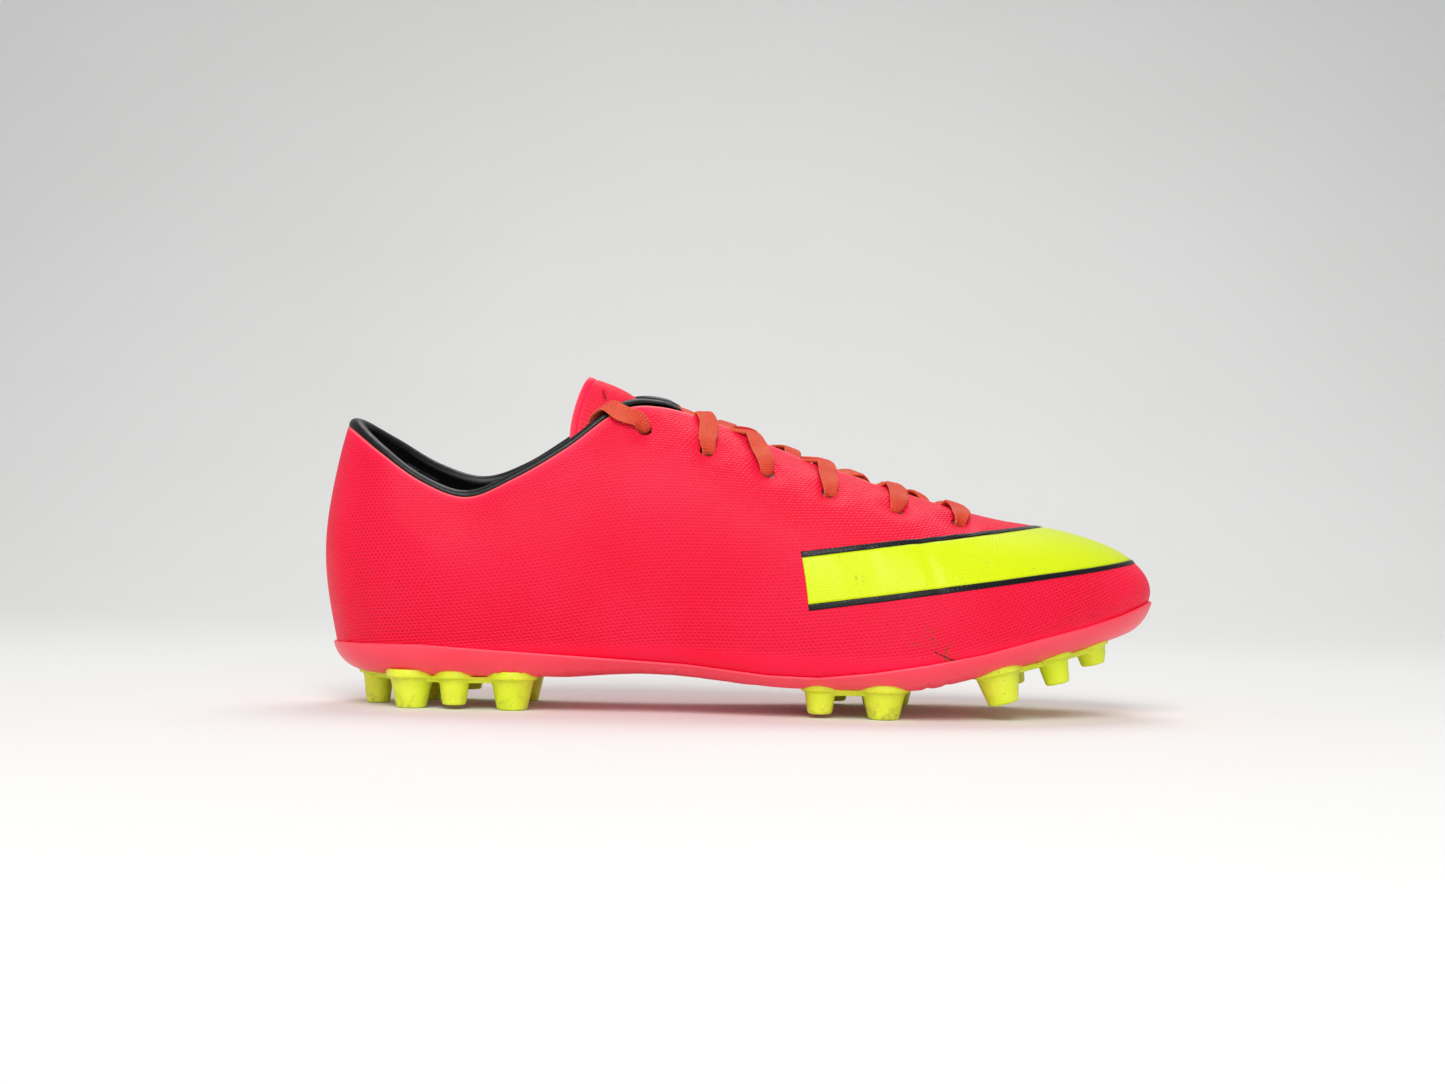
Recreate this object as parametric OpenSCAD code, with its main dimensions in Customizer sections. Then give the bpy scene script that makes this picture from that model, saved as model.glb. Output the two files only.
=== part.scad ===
// Right-foot soccer cleat for artificial ground: a lasted upper on a moulded plate with three stud frames.
// +X points to the toe, +Y to the medial (inner) side, +Z up. The stud tips stand on z = 0.
// Every layer of the upper is an offset of one surface, which runs in ribs from the sole up to the top line.

/* [Upper] */
// Thickness of the synthetic upper
upper_t = 1.2; // [0.9:0.1:1.3]
// Thickness of the internal stiffeners: heel counter, toe puff and eyestay bands
stiffener_t = 1.0; // [0.6:0.1:1.0]
// Depth of the inside face of the textile lining below the outer face
lining_depth = 3.3; // [3.2:0.1:3.6]
// Depth of the padded collar below the outer face, at its thickest
collar_depth = 5.2; // [4.4:0.1:5.6]
// Radius of the rolled collar edge
collar_roll_r = 2.3; // [1.8:0.1:2.4]

/* [Sole] */
// Thickness of the plate under the foot
plate_t = 2.6; // [2.2:0.1:3]
// Thickness of the plate where it cups the upper
rand_t = 1.2; // [0.8:0.1:1.4]
// Thickness of the stud frames' rails
frame_t = 1.8; // [1.4:0.1:2.4]
// Width of the stud frames' rails
rail_w = 7; // [5:0.5:9]
// Thickness of the insole board
board_t = 1.2; // [0.8:0.1:1.3]
// Thickness of the sockliner foam
sockliner_t = 3.6; // [2.5:0.1:4]

/* [Studs] */
// Tip radius of a large stud
large_tip_r = 4.9; // [4:0.1:5.5]
// Base radius of a large stud
large_base_r = 7.4; // [6.5:0.1:8]
// Tip radius of a small stud
small_tip_r = 3.9; // [3.2:0.1:4.2]
// Base radius of a small stud
small_base_r = 5.4; // [4.8:0.1:6]

/* [Laces] */
// Width of the flat lace
lace_w = 6.6; // [5:0.2:7]
// Thickness of the flat lace
lace_t = 1.3; // [1:0.1:1.5]
// Radius of a punched eyelet
eyelet_r = 2.5; // [2:0.1:3]

/* [Tongue] */
// Thickness of the tongue's face
tongue_face_t = 1; // [0.8:0.1:1.2]
// Thickness of the tongue's soft backing
tongue_back_t = 1.6; // [1:0.1:2]

/* [Hidden] */
$fn = 48;

red = [1, 0.12, 0.22];
yellow = [0.85, 0.95, 0.1];
orange = [0.98, 0.3, 0.15];
black = [0.06, 0.06, 0.07];
pale = [0.85, 0.83, 0.8];

// Ribs of the upper, from the heel along the lateral side to the toe and back along the medial side.
// Each rib is [the widest point low on the wall, the point on the top line].
RIBS = [
    [[-136.1, 1.5, 21], [-133.7, 1.5, 93]],
    [[-130.6, -14, 21], [-129.5, -9, 90.5]],
    [[-119, -24.5, 21.5], [-119, -18, 83]],
    [[-104, -30.5, 22], [-105, -23.5, 74]],
    [[-88, -32.5, 22.5], [-90, -26, 69.3]],
    [[-70, -33, 23], [-75, -26, 75.4]],
    [[-50, -33.5, 23.5], [-58, -23.5, 85.8]],
    [[-28, -35, 23.5], [-41.5, -18, 98.6]],
    [[-8, -38.5, 23], [-27.5, -12.5, 100.6]],
    [[12, -42, 22], [-8, -9.5, 95.5]],
    [[32, -44.5, 21.5], [12, -8, 87.8]],
    [[52, -45.5, 22], [33, -7, 80.4]],
    [[72, -44, 24.5], [52, -6, 74.5]],
    [[92, -39, 28.5], [68, -5, 69.7]],
    [[110.4, -30, 33], [79, -4, 66.9]],
    [[124.8, -19, 36.8], [85, -2.3, 65.6]],
    [[135, -6.5, 39.6], [87.5, 0, 65.2]],
    [[139.1, 5.5, 40.5], [88.3, 2.5, 65.1]],
    [[135.5, 17.5, 39.6], [87.5, 5, 65.2]],
    [[124.8, 29, 36.8], [85, 7.3, 65.6]],
    [[109.4, 38, 33], [79, 9, 66.9]],
    [[91, 43.5, 28.5], [68, 10, 69.8]],
    [[71, 45.5, 25], [52, 11, 74.8]],
    [[51, 44, 23], [33, 12, 81]],
    [[31, 40, 22.5], [12, 13, 88.6]],
    [[11, 35, 23.5], [-8, 14.5, 96.5]],
    [[-9, 31.5, 25], [-27.5, 17, 102.6]],
    [[-29, 30, 26], [-41.5, 21.5, 101.2]],
    [[-50, 30, 26], [-58, 26, 90.5]],
    [[-70, 31.5, 25], [-75, 28.5, 80]],
    [[-88, 32.5, 24], [-90, 29, 75.2]],
    [[-104, 31, 23], [-105, 27, 79]],
    [[-119, 26.5, 22], [-119, 21.5, 86.5]],
    [[-130.6, 17, 21.5], [-129.5, 12.5, 91.8]],
];
RIB_COUNT = len(RIBS);
TOE = RIB_COUNT / 2;
U_STEP = 0.5;
RING = [for (u = [0:U_STEP:RIB_COUNT - U_STEP]) u];

// The rib's lower corner takes this share of its length, and curls under the foot by corner_in.
centre_y = 1.5;
corner_v = 0.14;
corner_in = 10;
corner_sweep = 80;
V_LEVELS = [0, 0.05, 0.1, 0.14, 0.22, 0.31, 0.4, 0.5, 0.6, 0.7, 0.8, 0.9, 1];

// Heights of the edge where the plate stops cupping the upper, along X.
RAND_LINE = [
    [-137, 20.7], [-104, 21.3], [-72, 19.6], [-18, 16.8], [8, 14], [24, 13.6],
    [42, 15.5], [60, 18.4], [78, 22], [95, 26.6], [112, 30.6], [125, 34.2], [138, 38.6],
];

heel_floor_z = 10.8;
ball_floor_z = 9.5;
toe_bend_x = 58;
toe_slope = 0.25;
toe_tilt = atan(toe_slope);
bend_reach = 6;
arch_from = -76;
arch_to = 20;
arch_rise = 3.2;

// Clear gaps between parts that lie against each other.
skin_gap = 0.15;
seat_gap = 0.1;

// Rows of eyelets from the toe up to the ankle, as [rib position on the lateral side, height along the rib].
EYELETS = [[12.55, 0.77], [11.47, 0.77], [10.36, 0.77], [9.41, 0.79], [8.46, 0.82], [7.41, 0.9]];
ROWS = len(EYELETS);
// Dips that the lace pulls in the throat's edge, as [rib position on the lateral side, depth].
DIPS = [[12.5, 1.5], [11.5, 2.3], [10.5, 3], [9.5, 2.2]];
dip_reach = 0.24;
medial_dip_share = 0.6;
function eyelet_u(side, row) = side < 0 ? EYELETS[row][0] : RIB_COUNT - EYELETS[row][0];

// ---- Helpers ----
function ease(t) = let (c = min(max(t, 0), 1)) c * c * (3 - 2 * c);
function unit(v) = v / norm(v);
function catmull(a, b, c, d, t) =
    0.5 * (2 * b + (c - a) * t + (2 * a - 5 * b + 4 * c - d) * t * t + (3 * b - a - 3 * c + d) * t * t * t);
function wrap(i, n) = (i % n + n) % n;
// A smooth open curve through a list of points, with t from 0 to 1.
function curve_at(points, t) =
    let (
        last = len(points) - 1,
        s = min(max(t, 0), 1) * last,
        i = min(floor(s), last - 1)
    )
    catmull(points[max(i - 1, 0)], points[i], points[i + 1], points[min(i + 2, last)], s - i);

// ---- The sole's height along X ----
function toe_rise(x) =
    let (s = x - toe_bend_x)
    toe_slope * (s < -bend_reach ? 0 : s > bend_reach ? s : pow(s + bend_reach, 2) / (4 * bend_reach));
function arch(x) =
    let (t = (x - arch_from) / (arch_to - arch_from))
    t < 0 || t > 1 ? 0 : pow(sin(180 * t), 2);
function plate_z(x) =
    heel_floor_z + (ball_floor_z - heel_floor_z) * ease((x - arch_from) / (arch_to - arch_from))
    + arch_rise * arch(x) + toe_rise(x);
function floor_z(x) = plate_z(x) + plate_t;

// ---- The upper's outer face ----
// One rib at position u: [foot point, top point, outward direction in plan].
function rib_end(u, e) =
    let (i = floor(u), t = u - i)
    catmull(
        RIBS[wrap(i - 1, RIB_COUNT)][e], RIBS[wrap(i, RIB_COUNT)][e],
        RIBS[wrap(i + 1, RIB_COUNT)][e], RIBS[wrap(i + 2, RIB_COUNT)][e], t
    );
function rib(u) =
    let (
        foot = rib_end(u, 0),
        along = rib_end(u + 0.1, 0) - rib_end(u - 0.1, 0),
        out = unit([along.y, -along.x, 0])
    )
    [foot, rib_end(u, 1), out];
function sweep(x) = 20 + 55 * ease((x + 130) / 230);
function bulge(x) = 4.6 - 3.4 * ease((x + 140) / 200);
function corner_point(r, v) =
    let (
        a = corner_sweep * v / corner_v,
        inset = corner_in * (1 - sin(a) / sin(corner_sweep)),
        low = r[0] - r[2] * corner_in,
        bottom = floor_z(low.x),
        xy = r[0] - r[2] * inset
    )
    [xy.x, xy.y, bottom + (r[0].z - bottom) * (1 - cos(a)) / (1 - cos(corner_sweep))];
function wall_point(r, v) =
    let (
        t = (v - corner_v) / (1 - corner_v),
        full = sweep(r[0].x),
        a = (1 - cos(full * t)) / (1 - cos(full)),
        b = sin(full * t) / sin(full),
        xy = r[0] + (r[1] - r[0]) * a + r[2] * bulge(r[0].x) * sin(180 * t)
    )
    [xy.x, xy.y, r[0].z + (r[1].z - r[0].z) * b];
function face_point(u, v) = let (r = rib(u)) v < corner_v ? corner_point(r, v) : wall_point(r, v);
function face_normal(u, v) =
    let (lo = max(v - 0.02, 0), hi = min(v + 0.02, 1))
    unit(cross(face_point(u + 0.15, v) - face_point(u - 0.15, v), face_point(u, hi) - face_point(u, lo)));
// A point at a signed distance outside the outer face.
function shell_point(u, v, off) = face_point(u, v) + face_normal(u, v) * off;
// The share of a rib's height that one millimetre takes, along the wall.
function share_per_mm(u) = 0.77 / norm(rib_end(u, 1) - rib_end(u, 0));
// Position along the lateral side, with the medial side mirrored onto it.
function signed(u) = u > TOE ? u - RIB_COUNT : u;
// The height share of the top edge: 1, but for the dips.
function edge_v(u) =
    let (
        s = abs(signed(u)),
        depth = max([for (d = DIPS) d[1] * exp(-pow((s - d[0]) / dip_reach, 2))])
    )
    1 - depth * (u > TOE ? medial_dip_share : 1) * share_per_mm(u);
// A point near the top edge: out along the normal, and up past the edge.
function edge_point(u, out, up) =
    let (v = edge_v(u), rise = unit(face_point(u, v) - face_point(u, v - 0.04)))
    face_point(u, v) + face_normal(u, v) * out + rise * up;

// ---- Solids made from two facing grids of points ----
function grid_faces(rows, cols, closed, base, flip) = [
    for (i = [0:rows - (closed ? 1 : 2)], j = [0:cols - 2])
        let (
            a = base + i * cols + j,
            b = base + ((i + 1) % rows) * cols + j,
            quad = [a, a + 1, b + 1, b]
        )
        for (tri = [[quad[0], quad[1], quad[2]], [quad[0], quad[2], quad[3]]])
            flip ? [tri[2], tri[1], tri[0]] : tri
];
function strip_faces(first, second, flip) = [
    for (k = [0:len(first) - 2])
        for (tri = [[first[k], first[k + 1], second[k + 1]], [first[k], second[k + 1], second[k]]])
            flip ? [tri[2], tri[1], tri[0]] : tri
];
// outer and inner are lists of ribs, each a list of points from low to high. A closed solid is a ring.
module skin_solid(outer, inner, closed) {
    rows = len(outer);
    cols = len(outer[0]);
    n = rows * cols;
    points = [for (g = [outer, inner], r = g, p = r) p];
    ring = closed ? [for (i = [0:rows]) (i % rows) * cols] : [for (i = [0:rows - 1]) i * cols];
    low = strip_faces(ring, [for (k = ring) k + n], false);
    high = strip_faces([for (k = ring) k + cols - 1], [for (k = ring) k + n + cols - 1], true);
    first = [for (j = [0:cols - 1]) j];
    last = [for (j = first) j + (rows - 1) * cols];
    sides = closed ? [] : concat(
        strip_faces(first, [for (j = first) j + n], true),
        strip_faces(last, [for (j = last) j + n], false)
    );
    polyhedron(points, concat(
        grid_faces(rows, cols, closed, 0, false), grid_faces(rows, cols, closed, n, true), low, high, sides
    ));
}
// A layer of the upper between two depths, each a function of u and v, over a list of ribs.
module layer(us, vs_of, outer_off, inner_off, closed) {
    grid = function (off) [for (u = us) [for (v = vs_of(u)) shell_point(u, v, off(u, v))]];
    skin_solid(grid(outer_off), grid(inner_off), closed);
}
// Faces that close a ring of points across the foot, from the lateral side to the medial side.
function cap_faces(n, base, flip) = [
    for (i = [0:n / 2 - 1])
        let (a = i, b = i + 1, c = wrap(n - i - 1, n), d = wrap(n - i, n))
        for (tri = [[a, b, c], [a, c, d]])
            if (tri[0] != tri[1] && tri[1] != tri[2] && tri[0] != tri[2])
                flip ? [base + tri[2], base + tri[1], base + tri[0]] : [for (k = tri) base + k]
];
// A slab under the foot, following the sole's height, with its own edge inset below and above.
module foot_slab(inset_low, inset_high, z_low, z_high) {
    ring = function (inset, z) [
        for (u = RING) let (r = rib(u), p = r[0] - r[2] * inset) [p.x, p.y, floor_z(p.x) + z]
    ];
    n = len(RING);
    low = [for (k = [0:n]) k % n];
    polyhedron(
        concat(ring(inset_low, z_low), ring(inset_high, z_high)),
        concat(cap_faces(n, 0, false), cap_faces(n, n, true), strip_faces(low, [for (k = low) k + n], true))
    );
}

// ---- Sole ----
function rand_v(u) =
    let (
        r = rib(u),
        bottom = floor_z(r[0].x - r[2].x * corner_in),
        share = (lookup(r[0].x, RAND_LINE) - bottom) / (r[0].z - bottom),
        a = acos(1 - min(max(share, 0.08), 1) * (1 - cos(corner_sweep)))
    )
    corner_v * a / corner_sweep;
plate_rows = 5;
function plate_ring(u, off_low, off_high) = [
    for (j = [0:plate_rows])
        let (v = rand_v(u) * j / plate_rows, off = off_low + (off_high - off_low) * v / corner_v)
        shell_point(u, v, off)
];
module outsole_plate() {
    n = len(RING);
    cols = plate_rows + 1;
    outer = [for (u = RING) plate_ring(u, plate_t, rand_t)];
    inner = [for (u = RING) plate_ring(u, skin_gap, skin_gap)];
    m = n * cols;
    ring = [for (i = [0:n]) (i % n) * cols];
    top = strip_faces([for (k = ring) k + cols - 1], [for (k = ring) k + m + cols - 1], true);
    under = [for (tri = cap_faces(n, 0, false)) [for (k = tri) k * cols]];
    inside = [for (tri = cap_faces(n, 0, true)) [for (k = tri) k * cols + m]];
    color(red)
        polyhedron(
            [for (g = [outer, inner], r = g, p = r) p],
            concat(
                grid_faces(n, cols, true, 0, false), grid_faces(n, cols, true, m, true),
                top, under, inside
            )
        );
}

// A stud's outline from its tip up, flaring into the frame over the last millimetres.
module stud(tip_r, base_r, height) {
    flare = 2.2;
    steps = 6;
    straight = height - flare;
    waist_r = base_r - flare * 0.45;
    tip_round = 0.6;
    rotate_extrude()
        polygon(concat(
            [[0, 0], [tip_r - tip_round, 0], [tip_r, tip_round], [waist_r, straight]],
            [for (i = [1:steps]) let (a = 90 * i / steps) [
                waist_r + flare * (1 - cos(a)) * 0.75, straight + flare * sin(a)
            ]],
            [[0, height]]
        ));
}
module large_stud(height) stud(large_tip_r, large_base_r, height);
module small_stud(height) stud(small_tip_r, small_base_r, height);
module rail(a, b) {
    translate(a)
        rotate(atan2(b.y - a.y, b.x - a.x))
            translate([0, -rail_w / 2])
                square([norm(b - a), rail_w]);
}
// A flat frame: rails between the studs' feet, and a round pad under each stud.
// Each of the studs is [x, y, large, tip height].
module stud_frame(studs, rails, base_z) {
    translate([0, 0, base_z - frame_t])
        linear_extrude(frame_t) {
            for (r = rails) rail([studs[r[0]].x, studs[r[0]].y], [studs[r[1]].x, studs[r[1]].y]);
            for (s = studs) translate([s.x, s.y]) circle(r = (s[2] ? large_base_r : small_base_r) + 1);
        }
    for (s = studs)
        translate([s.x, s.y, s[3]])
            if (s[2]) large_stud(base_z - frame_t / 2 - s[3]);
            else small_stud(base_z - frame_t / 2 - s[3]);
}

HEEL_STUDS = [
    [-108, -17.5, true, 0], [-93.5, -21, false, 1.4], [-74.5, -20.5, true, 0],
    [-108, 19.5, true, 0], [-93.5, 22.5, false, 3.5], [-74.5, 22, true, 0], [-122, 1.5, false, 0],
];
HEEL_RAILS = [[0, 1], [1, 2], [3, 4], [4, 5], [6, 0], [6, 3], [2, 5]];
BALL_STUDS = [
    [26, -30, false, 1.3], [46.5, -31.5, true, 0],
    [34, 28.5, false, 1.3], [55, 31.5, true, 0],
    [46, 0.5, false, 2],
];
BALL_RAILS = [[0, 1], [2, 3], [1, 4], [4, 3]];
// Toe studs are laid out in the tilted toe plane: x from its bend, and the tip's distance below the plane.
TOE_STUDS = [
    [26, -28, true, 0], [45.5, -21, false, 1.6], [60, -10, false, 4],
    [33, 31, true, 0], [51.5, 25, false, 1.6], [64, 10, false, 4], [34, 1.5, false, 2.5],
];
TOE_RAILS = [[0, 1], [1, 2], [3, 4], [4, 5], [2, 5], [0, 6], [6, 3]];
toe_stud_h = 10.6;

module heel_stud_frame() color(yellow) stud_frame(HEEL_STUDS, HEEL_RAILS, heel_floor_z - seat_gap);
module ball_stud_frame() color(yellow) stud_frame(BALL_STUDS, BALL_RAILS, ball_floor_z - seat_gap);
module toe_stud_frame()
    color(yellow)
        translate([toe_bend_x, 0, ball_floor_z]) rotate([0, -toe_tilt, 0])
            translate([0, 0, -toe_stud_h]) stud_frame(TOE_STUDS, TOE_RAILS, toe_stud_h - seat_gap);

board_low = upper_t + skin_gap;
liner_low = board_low + board_t + seat_gap;
module insole_board() color([0.75, 0.7, 0.6]) foot_slab(9.6, 8.6, board_low, board_low + board_t);
module sockliner_foam() color([0.2, 0.2, 0.22]) foot_slab(6.2, 5.3, liner_low, liner_low + sockliner_t);
module sockliner_cover()
    color(black) foot_slab(5.6, 5.5, liner_low + sockliner_t + seat_gap / 2, liner_low + sockliner_t + 0.6);

// ---- Upper and what lies inside it ----
// Drills through every layer at the eyelets of one side, or of both.
module eyelet_drills(sides) {
    for (side = sides, row = [0:ROWS - 1]) {
        u = eyelet_u(side, row);
        v = EYELETS[row][1];
        n = face_normal(u, v);
        translate(shell_point(u, v, -6)) rotate([0, acos(n.z), atan2(n.y, n.x)])
            cylinder(r = eyelet_r, h = 9);
    }
}
wall_levels = function (u) [for (v = V_LEVELS) min(v, edge_v(u))];
module upper_shell() {
    color(red)
        difference() {
            layer(RING, wall_levels, function (u, v) 0, function (u, v) -upper_t, true);
            eyelet_drills([-1, 1]);
        }
}

// The ribs where each stiffener lies, and how high it goes.
COUNTER = [-5.5, 5.5, 0.6];
PUFF = [13.5, 20.5, 0.5];
EYESTAY = [7, 13.5];
eyestay_v = 0.7;
stiffener_top = -upper_t - skin_gap;
stiffener_under = stiffener_top - stiffener_t;
function over(u, v) =
    let (s = abs(signed(u)))
    s < COUNTER[1] + 0.1 && v < COUNTER[2] + 0.01 ? 1
    : s > PUFF[0] - 0.1 && v < PUFF[2] + 0.01 ? 1
    : s > EYESTAY[0] - 0.1 && s < EYESTAY[1] + 0.1 && v > eyestay_v - 0.01 ? 1 : 0;
// The lining reaches the throat's edge in front, and stops under the padded collar behind.
COLLAR_END = 8.5;
lining_foot_v = 0.1;
edge_inset_v = 0.015;
function lining_top(u) = abs(signed(u)) > COLLAR_END + 0.1 ? edge_v(u) - edge_inset_v : 0.6;
lining_levels = function (u)
    [for (v = V_LEVELS) if (v >= lining_foot_v) min(v, lining_top(u) - (1 - v) * 0.02)];
module quarter_lining() {
    color(pale)
        difference() {
            layer(
                RING,
                lining_levels,
                function (u, v) stiffener_top - skin_gap - (stiffener_t + 0.1) * over(u, v),
                function (u, v) -lining_depth,
                true
            );
            eyelet_drills([-1, 1]);
        }
}
module stiffener(from, to, v_from, v_to) {
    layer(
        [for (u = [from:U_STEP:to]) u],
        function (u) [for (v = V_LEVELS) if (v >= v_from - 0.001 && v <= v_to + 0.001) v],
        function (u, v) stiffener_top,
        function (u, v) stiffener_under,
        false
    );
}
module heel_counter() color([0.9, 0.9, 0.88]) stiffener(COUNTER[0], COUNTER[1], 0.1, COUNTER[2]);
module toe_puff() color([0.9, 0.9, 0.88]) stiffener(PUFF[0], PUFF[1], 0.1, PUFF[2]);
module eyestay(from, to) {
    difference() {
        layer(
            [for (u = [from:U_STEP:to]) u],
            function (u) [eyestay_v, 0.8, 0.9, edge_v(u) - edge_inset_v],
            function (u, v) stiffener_top,
            function (u, v) stiffener_under,
            false
        );
        eyelet_drills([from < TOE ? -1 : 1]);
    }
}
module eyestay_lateral() color(pale) eyestay(EYESTAY[0], EYESTAY[1]);
module eyestay_medial() color(pale) eyestay(RIB_COUNT - EYESTAY[1], RIB_COUNT - EYESTAY[0]);

// ---- Collar ----
COLLAR = [for (u = [-COLLAR_END:U_STEP:COLLAR_END]) u];
collar_skin = 0.8;
// The padding swells from nothing low on the wall to its full depth just under the edge.
function swell(u, v) =
    let (fade = ease((COLLAR_END - abs(u)) / 2.5))
    lining_depth + (collar_depth - lining_depth) * ease((v - 0.64) / 0.24) * fade;
COLLAR_V = [0.31, 0.4, 0.5, 0.6, 0.71, 0.78, 0.84, 0.91, 0.97];
foam_levels = [for (v = COLLAR_V) if (v > 0.7) v];
roll_steps = 6;
// How far the roll's middle stands over the edge: more in front, where the wall leans in, but for its end.
function roll_up(u) = 1.4 + 2 * ease((abs(u) - 6.4) / 2) * (1 - ease((abs(u) - 8.2) / 0.3));
// Low on the wall the collar lining lies over the quarter lining, so it steps in by its own thickness.
function step_in(v) = v < 0.7 ? collar_skin : 0;
// The collar's inside face, from low on the wall up and over the rolled edge to the upper's own edge.
function collar_outline(u, inward) = concat(
    [for (v = COLLAR_V) shell_point(u, v, inward - swell(u, v) - 0.1 - step_in(v))],
    [
        for (i = [0:roll_steps])
            let (
                a = 200 - 220 * i / roll_steps,
                r = collar_roll_r - inward,
                side = -collar_roll_r - (i == 0 ? 0.6 * (swell(u, 0.97) - lining_depth) : 0)
            )
            edge_point(u, side + r * cos(a), roll_up(u) + r * sin(a))
    ]
);
module collar_lining() {
    color(black)
        difference() {
            skin_solid(
                [for (u = COLLAR) collar_outline(u, collar_skin)],
                [for (u = COLLAR) collar_outline(u, 0)],
                false
            );
            eyelet_drills([-1, 1]);
        }
}
// The foam fills the space between the upper and the collar lining round the back of the ankle.
FOAM_END = 6;
module collar_foam() {
    color([0.35, 0.35, 0.38])
        layer(
            [for (u = [-FOAM_END:U_STEP:FOAM_END]) u], function (u) foam_levels,
            function (u, v) stiffener_top - skin_gap, function (u, v) collar_skin - swell(u, v), false
        );
}
// A strip that covers the seam up the back of the heel.
module back_strip() {
    color(red)
        layer(
            [-0.5, 0, 0.5], function (u) [for (v = V_LEVELS) if (v > corner_v) min(v, 0.97)],
            function (u, v) 0.65, function (u, v) 0.15, false
        );
}

// ---- Band round the forefoot ----
// A plain strip of constant height with straight edges, round the toe from one side to the other.
// Its two edges lie in parallel planes that rise towards the toe, and a narrow strip frames each.
BAND_U = [for (u = [9.5:U_STEP:RIB_COUNT - 9.5]) u];
band_z = 41.5;
band_slope = 0.14;
band_half = 7.5;
band_edge_w = 2.2;
band_cols = 6;
film_low = 0.15;
film_high = 0.5;
// The height share where the plane at this height over the band's middle cuts a rib, by halving the range.
function plane_v(u, height, low = corner_v, high = 1, steps = 12) =
    let (mid = (low + high) / 2, p = face_point(u, mid), above = p.z - band_z - band_slope * p.x > height)
    steps == 0 ? mid : plane_v(u, height, above ? low : mid, above ? mid : high, steps - 1);
module film(levels) layer(BAND_U, levels, function (u, v) film_high, function (u, v) film_low, false);
module side_band() {
    color(yellow)
        film(function (u)
            let (low = plane_v(u, -band_half), high = plane_v(u, band_half))
            [for (k = [0:band_cols]) low + (high - low) * k / band_cols]);
}
module side_band_edge() {
    for (side = [-1, 1])
        color(black)
            film(function (u)
                let (
                    v = plane_v(u, side * band_half),
                    near = v + side * 0.003,
                    far = v + side * band_edge_w * share_per_mm(u)
                )
                [min(near, far), max(near, far)]);
}

// ---- Tongue ----
// Stations up the tongue: [centre x, y, z, half width, how far its sides fall back, how far they drop].
TONGUE = [
    [96, 2.5, 56, 11, 0, 2],
    [80, 2.5, 60.2, 13, 0, 2.5],
    [64, 2.5, 65.3, 15, 0, 3.5],
    [46, 2.5, 71.5, 16, 0, 5],
    [28, 2.5, 77.8, 16.5, 1, 6.5],
    [8, 2, 85, 16.5, 3, 8],
    [-10, 1.5, 91.6, 16, 5, 10],
    [-26, 1.5, 97.5, 15, 7, 14],
    [-40, 1.5, 106.6, 14.3, 7.5, 21],
    [-52.3, 1.5, 111.2, 14.3, 7.7, 25],
];
TONGUE_W = [-1, -0.75, -0.5, -0.25, 0, 0.25, 0.5, 0.75, 1];
tongue_rows = 16;
fall_power = 1.3;
function tongue_mid(s, w) =
    let (p = curve_at(TONGUE, s))
    [p[0] - p[4] * pow(abs(w), fall_power), p[1] + p[3] * w, p[2] - p[5] * w * w];
function tongue_point(s, w, depth) =
    let (
        up = tongue_mid(min(s + 0.02, 1), w) - tongue_mid(max(s - 0.02, 0), w),
        across = tongue_mid(s, w + 0.02) - tongue_mid(s, w - 0.02)
    )
    tongue_mid(s, w) - unit(cross(across, up)) * depth;
module tongue_layer(top, under) {
    grid = function (depth)
        [for (i = [0:tongue_rows]) [for (w = TONGUE_W) tongue_point(i / tongue_rows, w, depth)]];
    skin_solid(grid(under), grid(top), false);
}
module tongue_face() color(red) tongue_layer(0, tongue_face_t);
module tongue_backing() color(pale) tongue_layer(tongue_face_t + 0.05, tongue_face_t + tongue_back_t);

// ---- Lace ----
// The lace is one flat ribbon.
// Each point of its route is [place, which way its flat face looks, width share].
function lace_stop(u, v, off, share) = [shell_point(u, v, off), face_normal(u, v), share];
// Under the upper, below whatever lines it there.
function lace_under(u, v, share) = lace_stop(u, v, -swell(abs(signed(u)), v) - 1.2, share);
// Over the edge of the opening and past it, clearing the collar's roll where there is one.
function over_edge(u) =
    let (rolled = abs(signed(u)) < COLLAR_END ? 1 : 0)
    [edge_point(u, 1.3 - 2.3 * rolled, 1.6 + 3.2 * rolled), face_normal(u, 1), 1];
function past_edge(u) =
    let (rolled = abs(signed(u)) < COLLAR_END ? 1 : 0)
    [edge_point(u, -2 - 3.6 * rolled, 3 + 1.3 * rolled), face_normal(u, 1), 1];
function in_hole(side, row, off) =
    let (u = eyelet_u(side, row), v = EYELETS[row][1])
    [shell_point(u, v, off), unit(face_point(u, 1) - face_point(u, v)), 0.68];
// Where the strands cross over the tongue between two rows.
function crossing(row, lift) =
    let (
        ends = [
            for (side = [-1, 1])
                face_point(eyelet_u(side, row) - side * EDGE_SLIP[row], 1)
                + face_point(eyelet_u(side, row + 1) - side * under_slip, 1)
        ]
    )
    [(ends[0] + ends[1]) / 4 + [0, 0, lift], [0.35, 0, 0.94], 1];
// How far towards the toe each row's strand moves from its eyelet until it passes over the edge.
EDGE_SLIP = [0.58, 0.4, 0.28, 0.07, 0.28];
// How far towards the heel it then moves as it passes the edge.
EDGE_BACK = [0.25, 0.25, 0.3, 0.3, 0];
under_slip = 0.3;
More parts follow.
